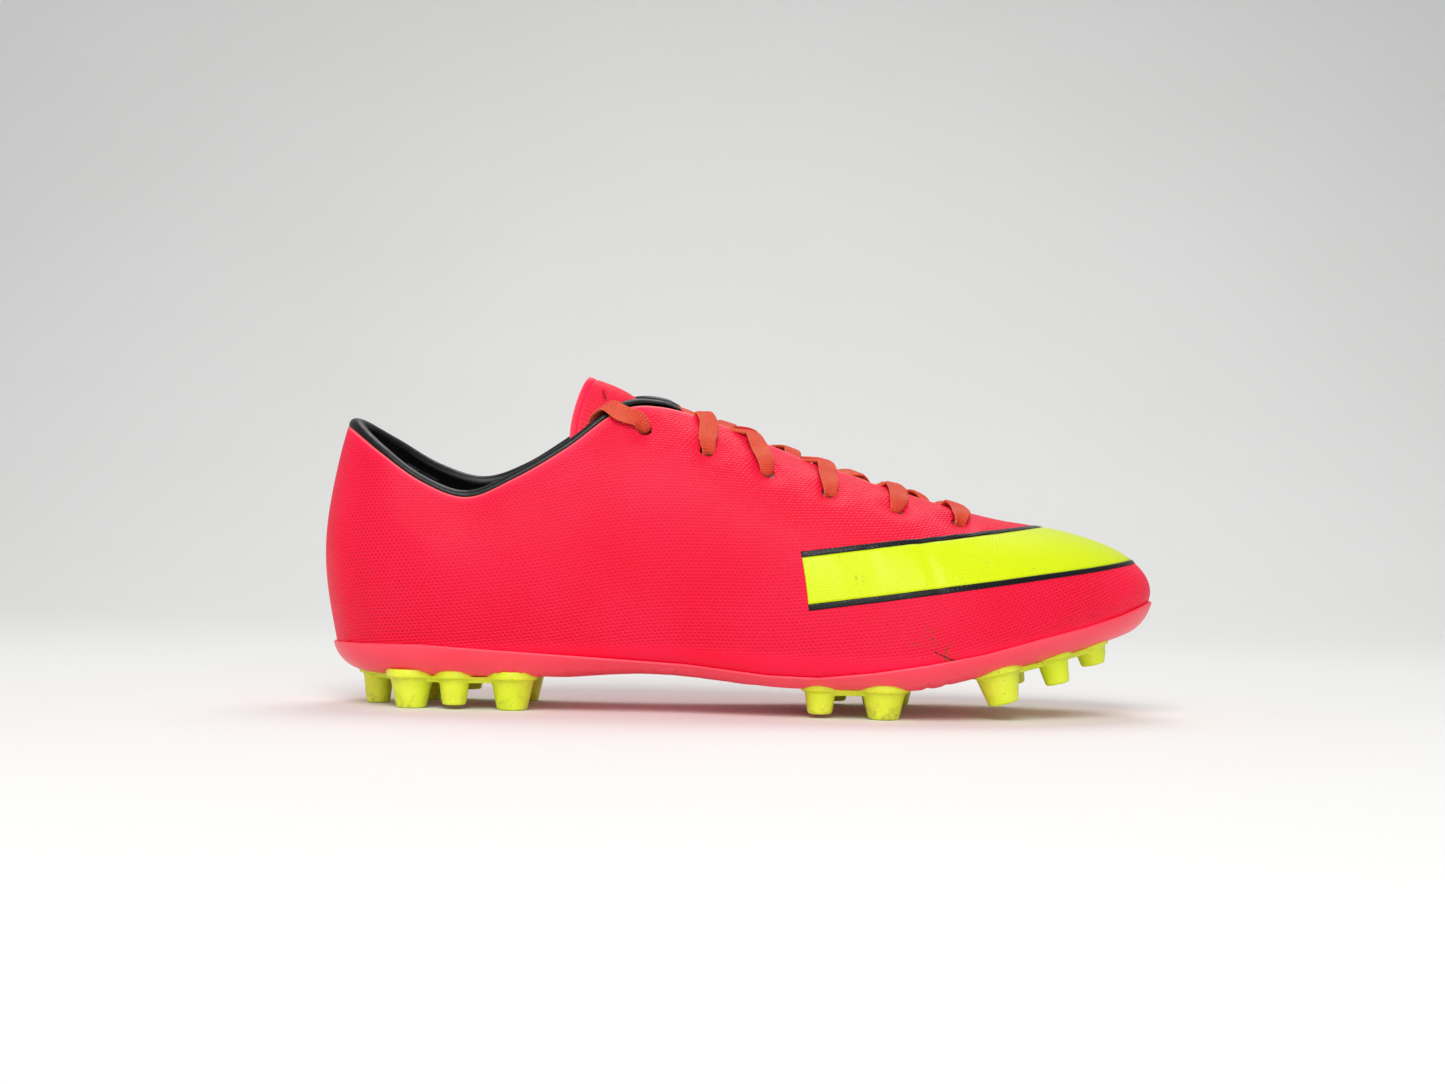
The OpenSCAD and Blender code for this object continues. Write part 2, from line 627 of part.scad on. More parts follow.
// From an eyelet over the edge, across the tongue, and under the other edge to below the next eyelet.
function strand(side, row, lift) =
    let (
        u = eyelet_u(side, row), v = EYELETS[row][1],
        o = eyelet_u(-side, row + 1), w = EYELETS[row + 1][1],
        slip = -side * EDGE_SLIP[row],
        back = side * under_slip
    )
    [
        in_hole(side, row, -0.6),
        lace_stop(u + slip * 0.2, v + 0.04, 1.4, 0.9),
        lace_stop(u + slip * 0.6, (v + 1) / 2, 1.1, 1),
        lace_stop(u + slip * 0.9, edge_v(u + slip) - 0.04, 1.5, 1),
        over_edge(u + slip),
        past_edge(u + slip * 0.9 + side * EDGE_BACK[row]),
        crossing(row, lift),
        lace_under(o + back, 0.975, 1),
        lace_under(o + back * 0.6, (w + 1) / 2, 1),
        lace_under(o + back * 0.2, w + 0.03, 0.9),
        in_hole(-side, row + 1, -3),
    ];
// The tail from the top eyelet over the collar edge, down its inside and along the sockliner.
function tail(side) =
    let (u = eyelet_u(side, ROWS - 1), v = EYELETS[ROWS - 1][1], s = side, y = centre_y)
    [
        in_hole(side, ROWS - 1, -0.6),
        lace_stop(u + 0.08 * s, v + 0.03, 1.4, 0.95),
        lace_stop(u + 0.38 * s, 0.975, 1.8, 1),
        [edge_point(u + 0.55 * s, 0.9, 3.4), [-0.3, 0.4 * s, 0.9], 1],
        [edge_point(u + 0.72 * s, -2.3, 5.5), [-0.3, 0, 0.95], 1],
        [edge_point(u + 0.83 * s, -5.5, 3.8), [-0.2, -0.7 * s, 0.7], 1],
        [edge_point(u + 0.88 * s, -6.6, 0.6), [0, -s, 0.2], 1],
        lace_stop(u + 0.96 * s, 0.8, -6.6, 1),
        lace_stop(u + 1.05 * s, 0.6, -5.6, 1),
        lace_stop(u + 1.15 * s, 0.4, -5.6, 1),
        lace_stop(u + 1.3 * s, 0.26, -6.5, 1),
        [[-66, y + 17 * s, floor_z(-66) + 10.5], [0, -0.3 * s, 0.95], 1],
        [[-78, y + 12 * s, floor_z(-78) + 8.6], [0, 0, 1], 1],
        [[-93, y + 10 * s, floor_z(-93) + 8], [0, 0, 1], 1],
        [[-108, y + 7 * s, floor_z(-108) + 8.5], [0, 0, 1], 1],
    ];
low_lift = -0.4;
high_lift = 1.4;
function half_route(start) = [
    for (row = [0:ROWS - 2])
        each strand(start * (row % 2 == 0 ? 1 : -1), row, start < 0 ? high_lift : low_lift),
    each tail(start * (ROWS % 2 == 0 ? -1 : 1)),
];
function reversed(list) = [for (i = [len(list) - 1:-1:0]) list[i]];
LACE_ROUTE = concat(
    reversed(half_route(-1)),
    [
        in_hole(-1, 0, -3),
        lace_under(eyelet_u(-1, 0), EYELETS[0][1] + 0.03, 0.9),
        lace_under(eyelet_u(-1, 0), 0.9, 1),
        [
            (face_point(eyelet_u(-1, 0), 1) + face_point(eyelet_u(1, 0), 1)) / 2 - [0, 0, 3.6],
            [0.3, 0, 0.95],
            1,
        ],
        lace_under(eyelet_u(1, 0), 0.9, 1),
        lace_under(eyelet_u(1, 0), EYELETS[0][1] + 0.03, 0.9),
        in_hole(1, 0, -3),
    ],
    half_route(1)
);
lace_parts = 2;
function route_at(k, item) =
    let (i = floor(k / lace_parts), t = k / lace_parts - i, last = len(LACE_ROUTE) - 1)
    i >= last ? LACE_ROUTE[last][item]
    : catmull(
        LACE_ROUTE[max(i - 1, 0)][item], LACE_ROUTE[i][item],
        LACE_ROUTE[i + 1][item], LACE_ROUTE[min(i + 2, last)][item], t
    );
module lace() {
    rings = (len(LACE_ROUTE) - 1) * lace_parts;
    place = [for (k = [0:rings]) route_at(k, 0)];
    run = [for (k = [0:rings]) unit(place[min(k + 1, rings)] - place[max(k - 1, 0)])];
    looks = [for (k = [0:rings]) let (n = LACE_ROUTE[min(round(k / lace_parts), len(LACE_ROUTE) - 1)][1])
        unit(cross(run[k], n))];
    // The ribbon's width direction, turned over where needed so that neighbouring rings agree.
    across = [
        for (
            k = 0, w = looks[0];
            k <= rings;
            k = k + 1, w = k > rings ? w : (looks[k] * w < 0 ? -looks[k] : looks[k])
        ) w
    ];
    ring_of = function (k) let (
            half = across[k] * lace_w / 2 * route_at(k, 2),
            flat = unit(cross(run[k], across[k])) * lace_t / 2
        )
        [place[k] + half - flat, place[k] + half + flat, place[k] - half + flat, place[k] - half - flat];
    points = [for (k = [0:rings], p = ring_of(k)) p];
    sides = [
        for (k = [0:rings - 1], c = [0:3])
            let (a = 4 * k + c, b = 4 * k + (c + 1) % 4)
            for (tri = [[a, b + 4, b], [a, a + 4, b + 4]]) tri
    ];
    last = 4 * rings;
    color(orange)
        polyhedron(points, concat(
            sides, [[0, 1, 3], [1, 2, 3]], [[last + 3, last + 1, last], [last + 3, last + 2, last + 1]]
        ));
}
aglet_l = 18;
aglet_r = 1.3;
module lace_aglets() {
    for (i = [0, len(LACE_ROUTE) - 1]) {
        end = LACE_ROUTE[i][0];
        along = unit(end - LACE_ROUTE[i == 0 ? 1 : i - 1][0]);
        color(orange)
            translate(end + along * 0.1) rotate([0, acos(along.z), atan2(along.y, along.x)])
                cylinder(r = aglet_r, h = aglet_l);
    }
}

outsole_plate();
heel_stud_frame();
ball_stud_frame();
toe_stud_frame();
insole_board();
sockliner_foam();
sockliner_cover();
upper_shell();
quarter_lining();
heel_counter();
toe_puff();
eyestay_lateral();
eyestay_medial();
collar_foam();
collar_lining();
back_strip();
side_band();
side_band_edge();
tongue_face();
tongue_backing();
lace();
lace_aglets();
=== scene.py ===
import math

import bpy
import numpy as np
from mathutils import Matrix, Vector


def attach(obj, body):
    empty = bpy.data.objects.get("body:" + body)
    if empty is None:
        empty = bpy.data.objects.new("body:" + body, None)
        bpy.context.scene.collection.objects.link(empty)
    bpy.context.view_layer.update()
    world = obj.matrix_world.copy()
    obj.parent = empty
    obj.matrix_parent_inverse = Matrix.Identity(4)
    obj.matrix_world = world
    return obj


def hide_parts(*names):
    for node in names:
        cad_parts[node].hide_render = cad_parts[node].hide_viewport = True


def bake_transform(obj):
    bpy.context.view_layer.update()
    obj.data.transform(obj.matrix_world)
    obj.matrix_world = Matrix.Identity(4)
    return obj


# A right-foot soccer cleat for artificial ground, seen from its lateral side.
# Shapes are worked out in millimetres, in the frame's axes, and become metres when a mesh is made.
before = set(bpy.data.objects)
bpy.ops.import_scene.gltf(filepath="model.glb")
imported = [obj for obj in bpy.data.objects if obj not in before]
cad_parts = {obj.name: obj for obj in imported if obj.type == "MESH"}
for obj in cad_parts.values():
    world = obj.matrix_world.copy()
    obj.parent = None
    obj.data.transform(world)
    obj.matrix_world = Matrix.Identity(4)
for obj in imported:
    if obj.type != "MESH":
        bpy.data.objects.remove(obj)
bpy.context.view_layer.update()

MM = 0.001
DEG = math.pi / 180
CENTRE_Y = 1.5

# ------------ camera
VIEW_AIM = Vector((-6.45, 0, 56.3)) * MM
VIEW_DISTANCE = 0.70
VIEW_ROLL = 1.04 * DEG
LENS_MM = 51.6
SENSOR_MM = 36.0


def add_object(name, data):
    made = bpy.data.objects.new(name, data)
    bpy.context.scene.collection.objects.link(made)
    return made


def add_camera():
    data = bpy.data.cameras.new("camera")
    data.lens = LENS_MM
    data.sensor_width = SENSOR_MM
    data.clip_start = 0.01
    camera = add_object("camera", data)
    camera.location = VIEW_AIM + Vector((0, -VIEW_DISTANCE, 0))
    turn = Matrix.Rotation(math.pi / 2, 4, "X") @ Matrix.Rotation(VIEW_ROLL, 4, "Z")
    camera.rotation_euler = turn.to_euler()
    bpy.context.scene.camera = camera


add_camera()

# ------------ the upper's outer face
# Ribs as in the part's source: [the widest point low on the wall, the point on the top line], from the heel
# along the lateral side to the toe and back along the medial side.
RIBS = np.array([
    [[-136.1, 1.5, 21], [-133.7, 1.5, 93]], [[-130.6, -14, 21], [-129.5, -9, 90.5]],
    [[-119, -24.5, 21.5], [-119, -18, 83]], [[-104, -30.5, 22], [-105, -23.5, 74]],
    [[-88, -32.5, 22.5], [-90, -26, 69.3]], [[-70, -33, 23], [-75, -26, 75.4]],
    [[-50, -33.5, 23.5], [-58, -23.5, 85.8]], [[-28, -35, 23.5], [-41.5, -18, 98.6]],
    [[-8, -38.5, 23], [-27.5, -12.5, 100.6]], [[12, -42, 22], [-8, -9.5, 95.5]],
    [[32, -44.5, 21.5], [12, -8, 87.8]], [[52, -45.5, 22], [33, -7, 80.4]],
    [[72, -44, 24.5], [52, -6, 74.5]], [[92, -39, 28.5], [68, -5, 69.7]],
    [[110.4, -30, 33], [79, -4, 66.9]], [[124.8, -19, 36.8], [85, -2.3, 65.6]],
    [[135, -6.5, 39.6], [87.5, 0, 65.2]], [[139.1, 5.5, 40.5], [88.3, 2.5, 65.1]],
    [[135.5, 17.5, 39.6], [87.5, 5, 65.2]], [[124.8, 29, 36.8], [85, 7.3, 65.6]],
    [[109.4, 38, 33], [79, 9, 66.9]], [[91, 43.5, 28.5], [68, 10, 69.8]],
    [[71, 45.5, 25], [52, 11, 74.8]], [[51, 44, 23], [33, 12, 81]],
    [[31, 40, 22.5], [12, 13, 88.6]], [[11, 35, 23.5], [-8, 14.5, 96.5]],
    [[-9, 31.5, 25], [-27.5, 17, 102.6]], [[-29, 30, 26], [-41.5, 21.5, 101.2]],
    [[-50, 30, 26], [-58, 26, 90.5]], [[-70, 31.5, 25], [-75, 28.5, 80]],
    [[-88, 32.5, 24], [-90, 29, 75.2]], [[-104, 31, 23], [-105, 27, 79]],
    [[-119, 26.5, 22], [-119, 21.5, 86.5]], [[-130.6, 17, 21.5], [-129.5, 12.5, 91.8]],
])
RIB_COUNT = len(RIBS)
TOE = RIB_COUNT / 2
RAND_LINE = np.array([
    [-137, 20.7], [-104, 21.3], [-72, 19.6], [-18, 16.8], [8, 14], [24, 13.6],
    [42, 15.5], [60, 18.4], [78, 22], [95, 26.6], [112, 30.6], [125, 34.2], [138, 38.6],
])
CORNER_V = 0.14
CORNER_IN = 10.0
CORNER_SWEEP = 80 * DEG
PLATE_T = 2.6
HEEL_FLOOR = 10.8
BALL_FLOOR = 9.5
TOE_BEND_X = 58.0
TOE_SLOPE = 0.25
BEND_REACH = 6.0
ARCH = (-76.0, 20.0)
ARCH_RISE = 3.2
# The wall's arc in degrees and its outward swell, as [at the heel, how much it changes towards the toe].
WALL_ARC = (20, 55)
WALL_SWELL = (4.6, -3.4)
# Dips of the top edge between the laces: [rib, depth].
DIPS = np.array([[12.5, 1.5], [11.5, 2.3], [10.5, 3.0], [9.5, 2.2]])
DIP_REACH = 0.24
MEDIAL_DIP = 0.6


def ease(t):
    t = np.clip(t, 0, 1)
    return t * t * (3 - 2 * t)


def catmull(table, at, wrap=False):
    """A smooth curve through a table's rows, read at row numbers. wrap joins the last row to the first."""
    last = len(table) - 1
    i = np.floor(at).astype(int)
    if not wrap:
        i = np.minimum(i, last - 1)
    t = (at - i)[..., None]
    rows = [(i + k) % len(table) if wrap else np.clip(i + k, 0, last) for k in (-1, 0, 1, 2)]
    a, b, c, d = (table[row] for row in rows)
    square, cube = 2 * a - 5 * b + 4 * c - d, 3 * b - a - 3 * c + d
    return 0.5 * (2 * b + (c - a) * t + square * t * t + cube * t ** 3)


def hump(x, middle, width):
    """1 at the middle, falling to 0 a few widths away."""
    return np.exp(-((x - middle) / width) ** 2)


def unit(v):
    return v / np.linalg.norm(v, axis=-1, keepdims=True)


def plate_z(x):
    """Height of the sole's underside along the shoe."""
    s = x - TOE_BEND_X
    bend = (s + BEND_REACH) ** 2 / (4 * BEND_REACH)
    rise = TOE_SLOPE * np.where(s < -BEND_REACH, 0, np.where(s > BEND_REACH, s, bend))
    t = (x - ARCH[0]) / (ARCH[1] - ARCH[0])
    arch = np.where((t < 0) | (t > 1), 0, np.sin(math.pi * t) ** 2)
    return HEEL_FLOOR + (BALL_FLOOR - HEEL_FLOOR) * ease(t) + ARCH_RISE * arch + rise


def floor_z(x):
    return plate_z(x) + PLATE_T


def rib_end(u, end):
    return catmull(RIBS[:, end], np.asarray(u, float), True)


def out_direction(u):
    along = rib_end(u + 0.1, 0) - rib_end(u - 0.1, 0)
    return unit(np.stack([along[..., 1], -along[..., 0], 0 * along[..., 0]], -1))


def face_point(u, v):
    """A point of the upper's outer face, at rib u and height share v."""
    u, v = np.broadcast_arrays(np.asarray(u, float), np.asarray(v, float))
    foot, top, out = rib_end(u, 0), rib_end(u, 1), out_direction(u)
    a = CORNER_SWEEP * v / CORNER_V
    inset = CORNER_IN * (1 - np.sin(a) / math.sin(CORNER_SWEEP))
    bottom = floor_z((foot - out * CORNER_IN)[..., 0])
    corner = foot - out * inset[..., None]
    corner[..., 2] = bottom + (foot[..., 2] - bottom) * (1 - np.cos(a)) / (1 - math.cos(CORNER_SWEEP))
    t = (v - CORNER_V) / (1 - CORNER_V)
    full = (WALL_ARC[0] + WALL_ARC[1] * ease((foot[..., 0] + 130) / 230)) * DEG
    inward = (1 - np.cos(full * t)) / (1 - np.cos(full))
    upward = np.sin(full * t) / np.sin(full)
    swell = (WALL_SWELL[0] + WALL_SWELL[1] * ease((foot[..., 0] + 140) / 200)) * np.sin(math.pi * t)
    wall = foot + (top - foot) * inward[..., None] + out * swell[..., None]
    wall[..., 2] = foot[..., 2] + (top[..., 2] - foot[..., 2]) * upward
    return np.where((v < CORNER_V)[..., None], corner, wall)


def face_normal(u, v):
    u, v = np.broadcast_arrays(np.asarray(u, float), np.asarray(v, float))
    lo, hi = np.maximum(v - 0.02, 0), np.minimum(v + 0.02, 1)
    along = face_point(u + 0.15, v) - face_point(u - 0.15, v)
    return unit(np.cross(along, face_point(u, hi) - face_point(u, lo)))


def shell_point(u, v, off):
    """A point at a signed distance outside the outer face."""
    return face_point(u, v) + face_normal(u, v) * np.asarray(off, float)[..., None]


def signed_rib(u):
    return np.where(u > TOE, u - RIB_COUNT, u)


def share_per_mm(u):
    """The share of a rib's height that one millimetre takes, along the wall."""
    return 0.77 / np.linalg.norm(rib_end(u, 1) - rib_end(u, 0), axis=-1)


def edge_v(u):
    """The height share of the top edge: 1, but for the dips between the laces."""
    u = np.asarray(u, float)
    near = np.exp(-((np.abs(signed_rib(u))[..., None] - DIPS[:, 0]) / DIP_REACH) ** 2)
    return 1 - (DIPS[:, 1] * near).max(-1) * np.where(u > TOE, MEDIAL_DIP, 1) * share_per_mm(u)


def edge_rise(u):
    v = edge_v(u)
    return unit(face_point(u, v) - face_point(u, v - 0.04))


def edge_point(u, out, up):
    """A point near the top edge: out along the normal, and up past the edge."""
    out, up = np.asarray(out, float)[..., None], np.asarray(up, float)[..., None]
    v = edge_v(u)
    return face_point(u, v) + face_normal(u, v) * out + edge_rise(u) * up


# ------------ eyelets and the lace's route
EYELETS = [(12.55, 0.77), (11.47, 0.77), (10.36, 0.77), (9.41, 0.79), (8.46, 0.82), (7.41, 0.9)]
ROWS = len(EYELETS)
EYELET_R = 2.5
LACE_W = 6.6
LACE_T = 1.3
COLLAR_END = 8.5
LINING_DEPTH = 3.3
COLLAR_DEPTH = 5.2
COLLAR_ROLL_R = 2.3
COLLAR_SKIN = 0.8
# How far towards the toe each row's strand moves from its eyelet until it passes over the edge.
EDGE_SLIP = [0.58, 0.4, 0.28, 0.07, 0.28]
# How far towards the heel it then moves as it passes the edge.
EDGE_BACK = [0.25, 0.25, 0.3, 0.3, 0]
UNDER_SLIP = 0.3
LOW_LIFT = -0.4
HIGH_LIFT = 1.4
# How far out and up the lace passes over the opening's edge, and then past it, where the collar's roll is and
# where it is not.
OVER_ROLL, PAST_ROLL = (-1.0, 4.8), (-5.6, 4.3)
OVER_PLAIN, PAST_PLAIN = (1.3, 1.6), (-2.0, 3.0)
# Under the edge the lace lies this far below the lining. In a hole it is gathered to this share of its width.
LACE_UNDER = 1.2
HOLE_SHARE = 0.68
LATERAL, MEDIAL = -1, 1


def eyelet_u(side, row):
    return EYELETS[row][0] if side == LATERAL else RIB_COUNT - EYELETS[row][0]


def collar_swell(u, v):
    """Depth of the collar's inside face below the outer face."""
    fade = ease((COLLAR_END - np.abs(u)) / 2.5)
    return LINING_DEPTH + (COLLAR_DEPTH - LINING_DEPTH) * ease((v - 0.64) / 0.24) * fade


def roll_up(u):
    """How far the collar roll's middle stands over the edge: more in front, where the wall leans in."""
    return 1.4 + 2 * ease((np.abs(u) - 6.4) / 2) * (1 - ease((np.abs(u) - 8.2) / 0.3))


def lace_stop(u, v, off, share):
    return shell_point(u, v, off), face_normal(u, v), share


def lace_under(u, v, share):
    return lace_stop(u, v, -collar_swell(abs(float(signed_rib(u))), v) - LACE_UNDER, share)


def over_edge(u, past):
    """Over the edge of the opening, and past it, clearing the collar's roll where there is one."""
    rolled = abs(float(signed_rib(u))) < COLLAR_END
    if past:
        out, up = PAST_ROLL if rolled else PAST_PLAIN
    else:
        out, up = OVER_ROLL if rolled else OVER_PLAIN
    return edge_point(u, out, up), face_normal(u, 1.0), 1.0


def in_hole(side, row, off):
    u, v = eyelet_u(side, row), EYELETS[row][1]
    return shell_point(u, v, off), unit(face_point(u, 1.0) - face_point(u, v)), HOLE_SHARE


def crossing(row, lift):
    """Where the strands cross over the tongue between two rows."""
    ends = []
    for side in (LATERAL, MEDIAL):
        ends.append(face_point(eyelet_u(side, row) - side * EDGE_SLIP[row], 1.0))
        ends.append(face_point(eyelet_u(side, row + 1) - side * UNDER_SLIP, 1.0))
    return sum(ends) / 4 + np.array([0, 0, lift]), np.array([0.35, 0, 0.94]), 1.0


def strand(side, row, lift):
    """From an eyelet over the edge, across the tongue, and under the other edge to below the next eyelet."""
    u, v = eyelet_u(side, row), EYELETS[row][1]
    o, w = eyelet_u(-side, row + 1), EYELETS[row + 1][1]
    slip = -side * EDGE_SLIP[row]
    back = side * UNDER_SLIP
    return [
        in_hole(side, row, -0.6),
        lace_stop(u + 0.2 * slip, v + 0.04, 1.4, 0.9),
        lace_stop(u + 0.6 * slip, (v + 1) / 2, 1.1, 1.0),
        lace_stop(u + 0.9 * slip, float(edge_v(u + slip)) - 0.04, 1.5, 1.0),
        over_edge(u + slip, False),
        over_edge(u + 0.9 * slip + side * EDGE_BACK[row], True),
        crossing(row, lift),
        lace_under(o + back, 0.975, 1.0),
        lace_under(o + 0.6 * back, (w + 1) / 2, 1.0),
        lace_under(o + 0.2 * back, w + 0.03, 0.9),
        in_hole(-side, row + 1, -3),
    ]


def on_sockliner(x, y, lift):
    return np.array([x, CENTRE_Y + y, float(floor_z(x)) + lift])


def tail(side):
    u, v, s = eyelet_u(side, ROWS - 1), EYELETS[ROWS - 1][1], side
    return [
        in_hole(side, ROWS - 1, -0.6),
        lace_stop(u + 0.08 * s, v + 0.03, 1.4, 0.95),
        lace_stop(u + 0.38 * s, 0.975, 1.8, 1.0),
        (edge_point(u + 0.55 * s, 0.9, 3.4), np.array([-0.3, 0.4 * s, 0.9]), 1.0),
        (edge_point(u + 0.72 * s, -2.3, 5.5), np.array([-0.3, 0, 0.95]), 1.0),
        (edge_point(u + 0.83 * s, -5.5, 3.8), np.array([-0.2, -0.7 * s, 0.7]), 1.0),
        (edge_point(u + 0.88 * s, -6.6, 0.6), np.array([0, -s, 0.2]), 1.0),
        lace_stop(u + 0.96 * s, 0.8, -6.6, 1.0),
        lace_stop(u + 1.05 * s, 0.6, -5.6, 1.0),
        lace_stop(u + 1.15 * s, 0.4, -5.6, 1.0),
        lace_stop(u + 1.3 * s, 0.26, -6.5, 1.0),
        (on_sockliner(-66, 17 * s, 10.5), np.array([0, -0.3 * s, 0.95]), 1.0),
        (on_sockliner(-78, 12 * s, 8.6), np.array([0, 0, 1.0]), 1.0),
        (on_sockliner(-93, 10 * s, 8.0), np.array([0, 0, 1.0]), 1.0),
        (on_sockliner(-108, 7 * s, 8.5), np.array([0, 0, 1.0]), 1.0),
    ]


def half_route(start):
    lift = HIGH_LIFT if start == LATERAL else LOW_LIFT
    stops = []
    for row in range(ROWS - 1):
        stops += strand(start if row % 2 == 0 else -start, row, lift)
    return stops + tail(-start if ROWS % 2 == 0 else start)


def lace_route():
    """The lace's stops from tip to tip: the place, the way its flat face looks, and the width share."""
    v = EYELETS[0][1]
    left, right = eyelet_u(LATERAL, 0), eyelet_u(MEDIAL, 0)
    middle = (face_point(left, 1.0) + face_point(right, 1.0)) / 2 - np.array([0, 0, 3.6])
    bar = [
        in_hole(LATERAL, 0, -3), lace_under(left, v + 0.03, 0.9), lace_under(left, 0.9, 1.0),
        (middle, np.array([0.3, 0, 0.95]), 1.0),
        lace_under(right, 0.9, 1.0), lace_under(right, v + 0.03, 0.9), in_hole(MEDIAL, 0, -3),
    ]
    return half_route(LATERAL)[::-1] + bar + half_route(MEDIAL)


# ------------ mesh making
def add_mesh(name, verts, faces, corner_uv=None, attributes=None):
    """A smooth piece from points in millimetres and a list of faces, with a UV pair per face corner."""
    mesh = bpy.data.meshes.new(name)
    mesh.from_pydata((np.asarray(verts, float) * MM).tolist(), [], faces)
    if corner_uv is not None:
        layer = mesh.uv_layers.new(name="surface")
        layer.uv.foreach_set("vector", np.asarray(corner_uv, np.float32).ravel())
    for key, values in (attributes or {}).items():
        attribute = mesh.attributes.new(key, "FLOAT", "POINT")
        attribute.data.foreach_set("value", np.asarray(values, np.float32).ravel())
    mesh.polygons.foreach_set("use_smooth", np.ones(len(mesh.polygons), bool))
    mesh.update()
    return add_object(name, mesh)


def volume(verts, faces):
    a, b, c, d = (verts[faces[:, k]] for k in range(4))
    return np.einsum("ij,ij->i", a, np.cross(b, c)).sum() + np.einsum("ij,ij->i", a, np.cross(c, d)).sum()


def loft(name, rings, closed, uv=None, attributes=None):
    """A closed solid from a row of rings. Each ring is an outline: an outer line up, an inner line down.
    closed says that the last ring meets the first one. Open ends are closed across, from outer to inner."""
    rows, cols = rings.shape[:2]
    i, j = np.divmod(np.arange((rows if closed else rows - 1) * cols), cols)
    i, j = np.stack([i, i, i + 1, i + 1], 1), np.stack([j, j + 1, j + 1, j], 1)
    faces = (i % rows) * cols + j % cols
    corner_uv = None if uv is None else uv[i, j]
    if not closed:
        k = np.arange(cols // 2 - 1)
        zipped = np.stack([k, k + 1, cols - 2 - k, cols - 1 - k], 1)
        faces = np.concatenate([faces, zipped[:, ::-1], zipped + (rows - 1) * cols])
        if uv is not None:
            corner_uv = np.concatenate([corner_uv, uv[0, zipped[:, ::-1]], uv[rows - 1, zipped]])
    verts = rings.reshape(-1, 3)
    if volume(verts, faces) < 0:
        faces = faces[:, ::-1]
        corner_uv = None if uv is None else corner_uv[:, ::-1]
    return add_mesh(name, verts, faces.tolist(), corner_uv, attributes)


def strip_uv(along, across):
    """UV pairs in millimetres over a grid of rings, with the first column again where each ring closes."""
    uv = np.stack(np.broadcast_arrays(along, across), -1)
    return np.concatenate([uv, uv[:, :1]], 1)


def there_and_back(line):
    return np.concatenate([line, line[::-1]])


def arc_length(points, axis):
    """Running length along one axis of a grid of points."""
    steps = np.linalg.norm(np.diff(points, axis=axis), axis=-1)
    pad = [(0, 0)] * steps.ndim
    pad[axis] = (1, 0)
    return np.pad(np.cumsum(steps, axis=axis), pad)


def surface_uv(us, vs):
    """Millimetres along and up the surface, with little stretch on the sides and round the toe."""
    grid = face_point(us[:, None], vs[None, :])
    middle = face_point(us, 0.3)
    along = arc_length(middle, 0)
    heading = unit(np.gradient(middle, axis=0))[:, 0][:, None]
    shift = grid[..., 0] - middle[:, None, 0]
    step = np.diff(grid, axis=1)
    girth = np.sqrt(np.maximum((step ** 2).sum(-1) - (heading * step[..., 0]) ** 2, 0))
    high = np.pad(np.cumsum(girth, axis=1), ((0, 0), (1, 0)))
    return np.stack([along[:, None] + heading * shift, high], -1)


# The dent at each hole and the low ring round it, the slow unevenness, and the creases where the vamp bends.
HOLE_DENT = 0.75
HOLE_RING = 0.25
UNEVEN = (0.3, 0.08)
VAMP_X = 56
CREASE_DEPTH = 0.28
CREASE_PITCH = 2.9
HOLES = [(side, row) for side in (LATERAL, MEDIAL) for row in range(ROWS)]
EYELET_CENTRES = np.array([face_point(eyelet_u(side, row), EYELETS[row][1]) for side, row in HOLES])


def relief(points, v):
    """Small departures of the real upper from the plain surface, in millimetres outward."""
    x, y, z = points[..., 0], points[..., 1], points[..., 2]
    broad = UNEVEN[0] * np.sin(x / 17 + z / 30 + 1.3) * np.cos(z / 11 - x / 60 + y / 23)
    uneven = broad + UNEVEN[1] * np.sin(x / 6.5 + z / 9)
    near = np.linalg.norm(points[..., None, :] - EYELET_CENTRES, axis=-1)
    pull = -HOLE_DENT * hump(near, 0, 5.0).sum(-1) + HOLE_RING * hump(near, 8, 3.0).sum(-1)
    vamp = hump(x, VAMP_X, 17) * ease((v - 0.16) / 0.2) * (1 - ease((v - 0.72) / 0.2))
    crease = -CREASE_DEPTH * vamp * np.maximum(np.sin((x + 0.35 * z) / CREASE_PITCH), 0) ** 3
    return (uneven * ease(v / 0.2) + pull + crease) * (1 - ease((v - 0.93) / 0.07) * 0.5)


def skin(u, v, off):
    """A point over or under the upper with its small reliefs."""
    points = face_point(u, v)
    return points + face_normal(u, v) * (relief(points, v) + off)[..., None]


# ------------ shader helpers
def linear(r, g, b):
    """A linear colour from 8-bit display values."""
    def one(c):
        c = c / 255
        return c / 12.92 if c <= 0.04045 else ((c + 0.055) / 1.055) ** 2.4
    return one(r), one(g), one(b), 1.0


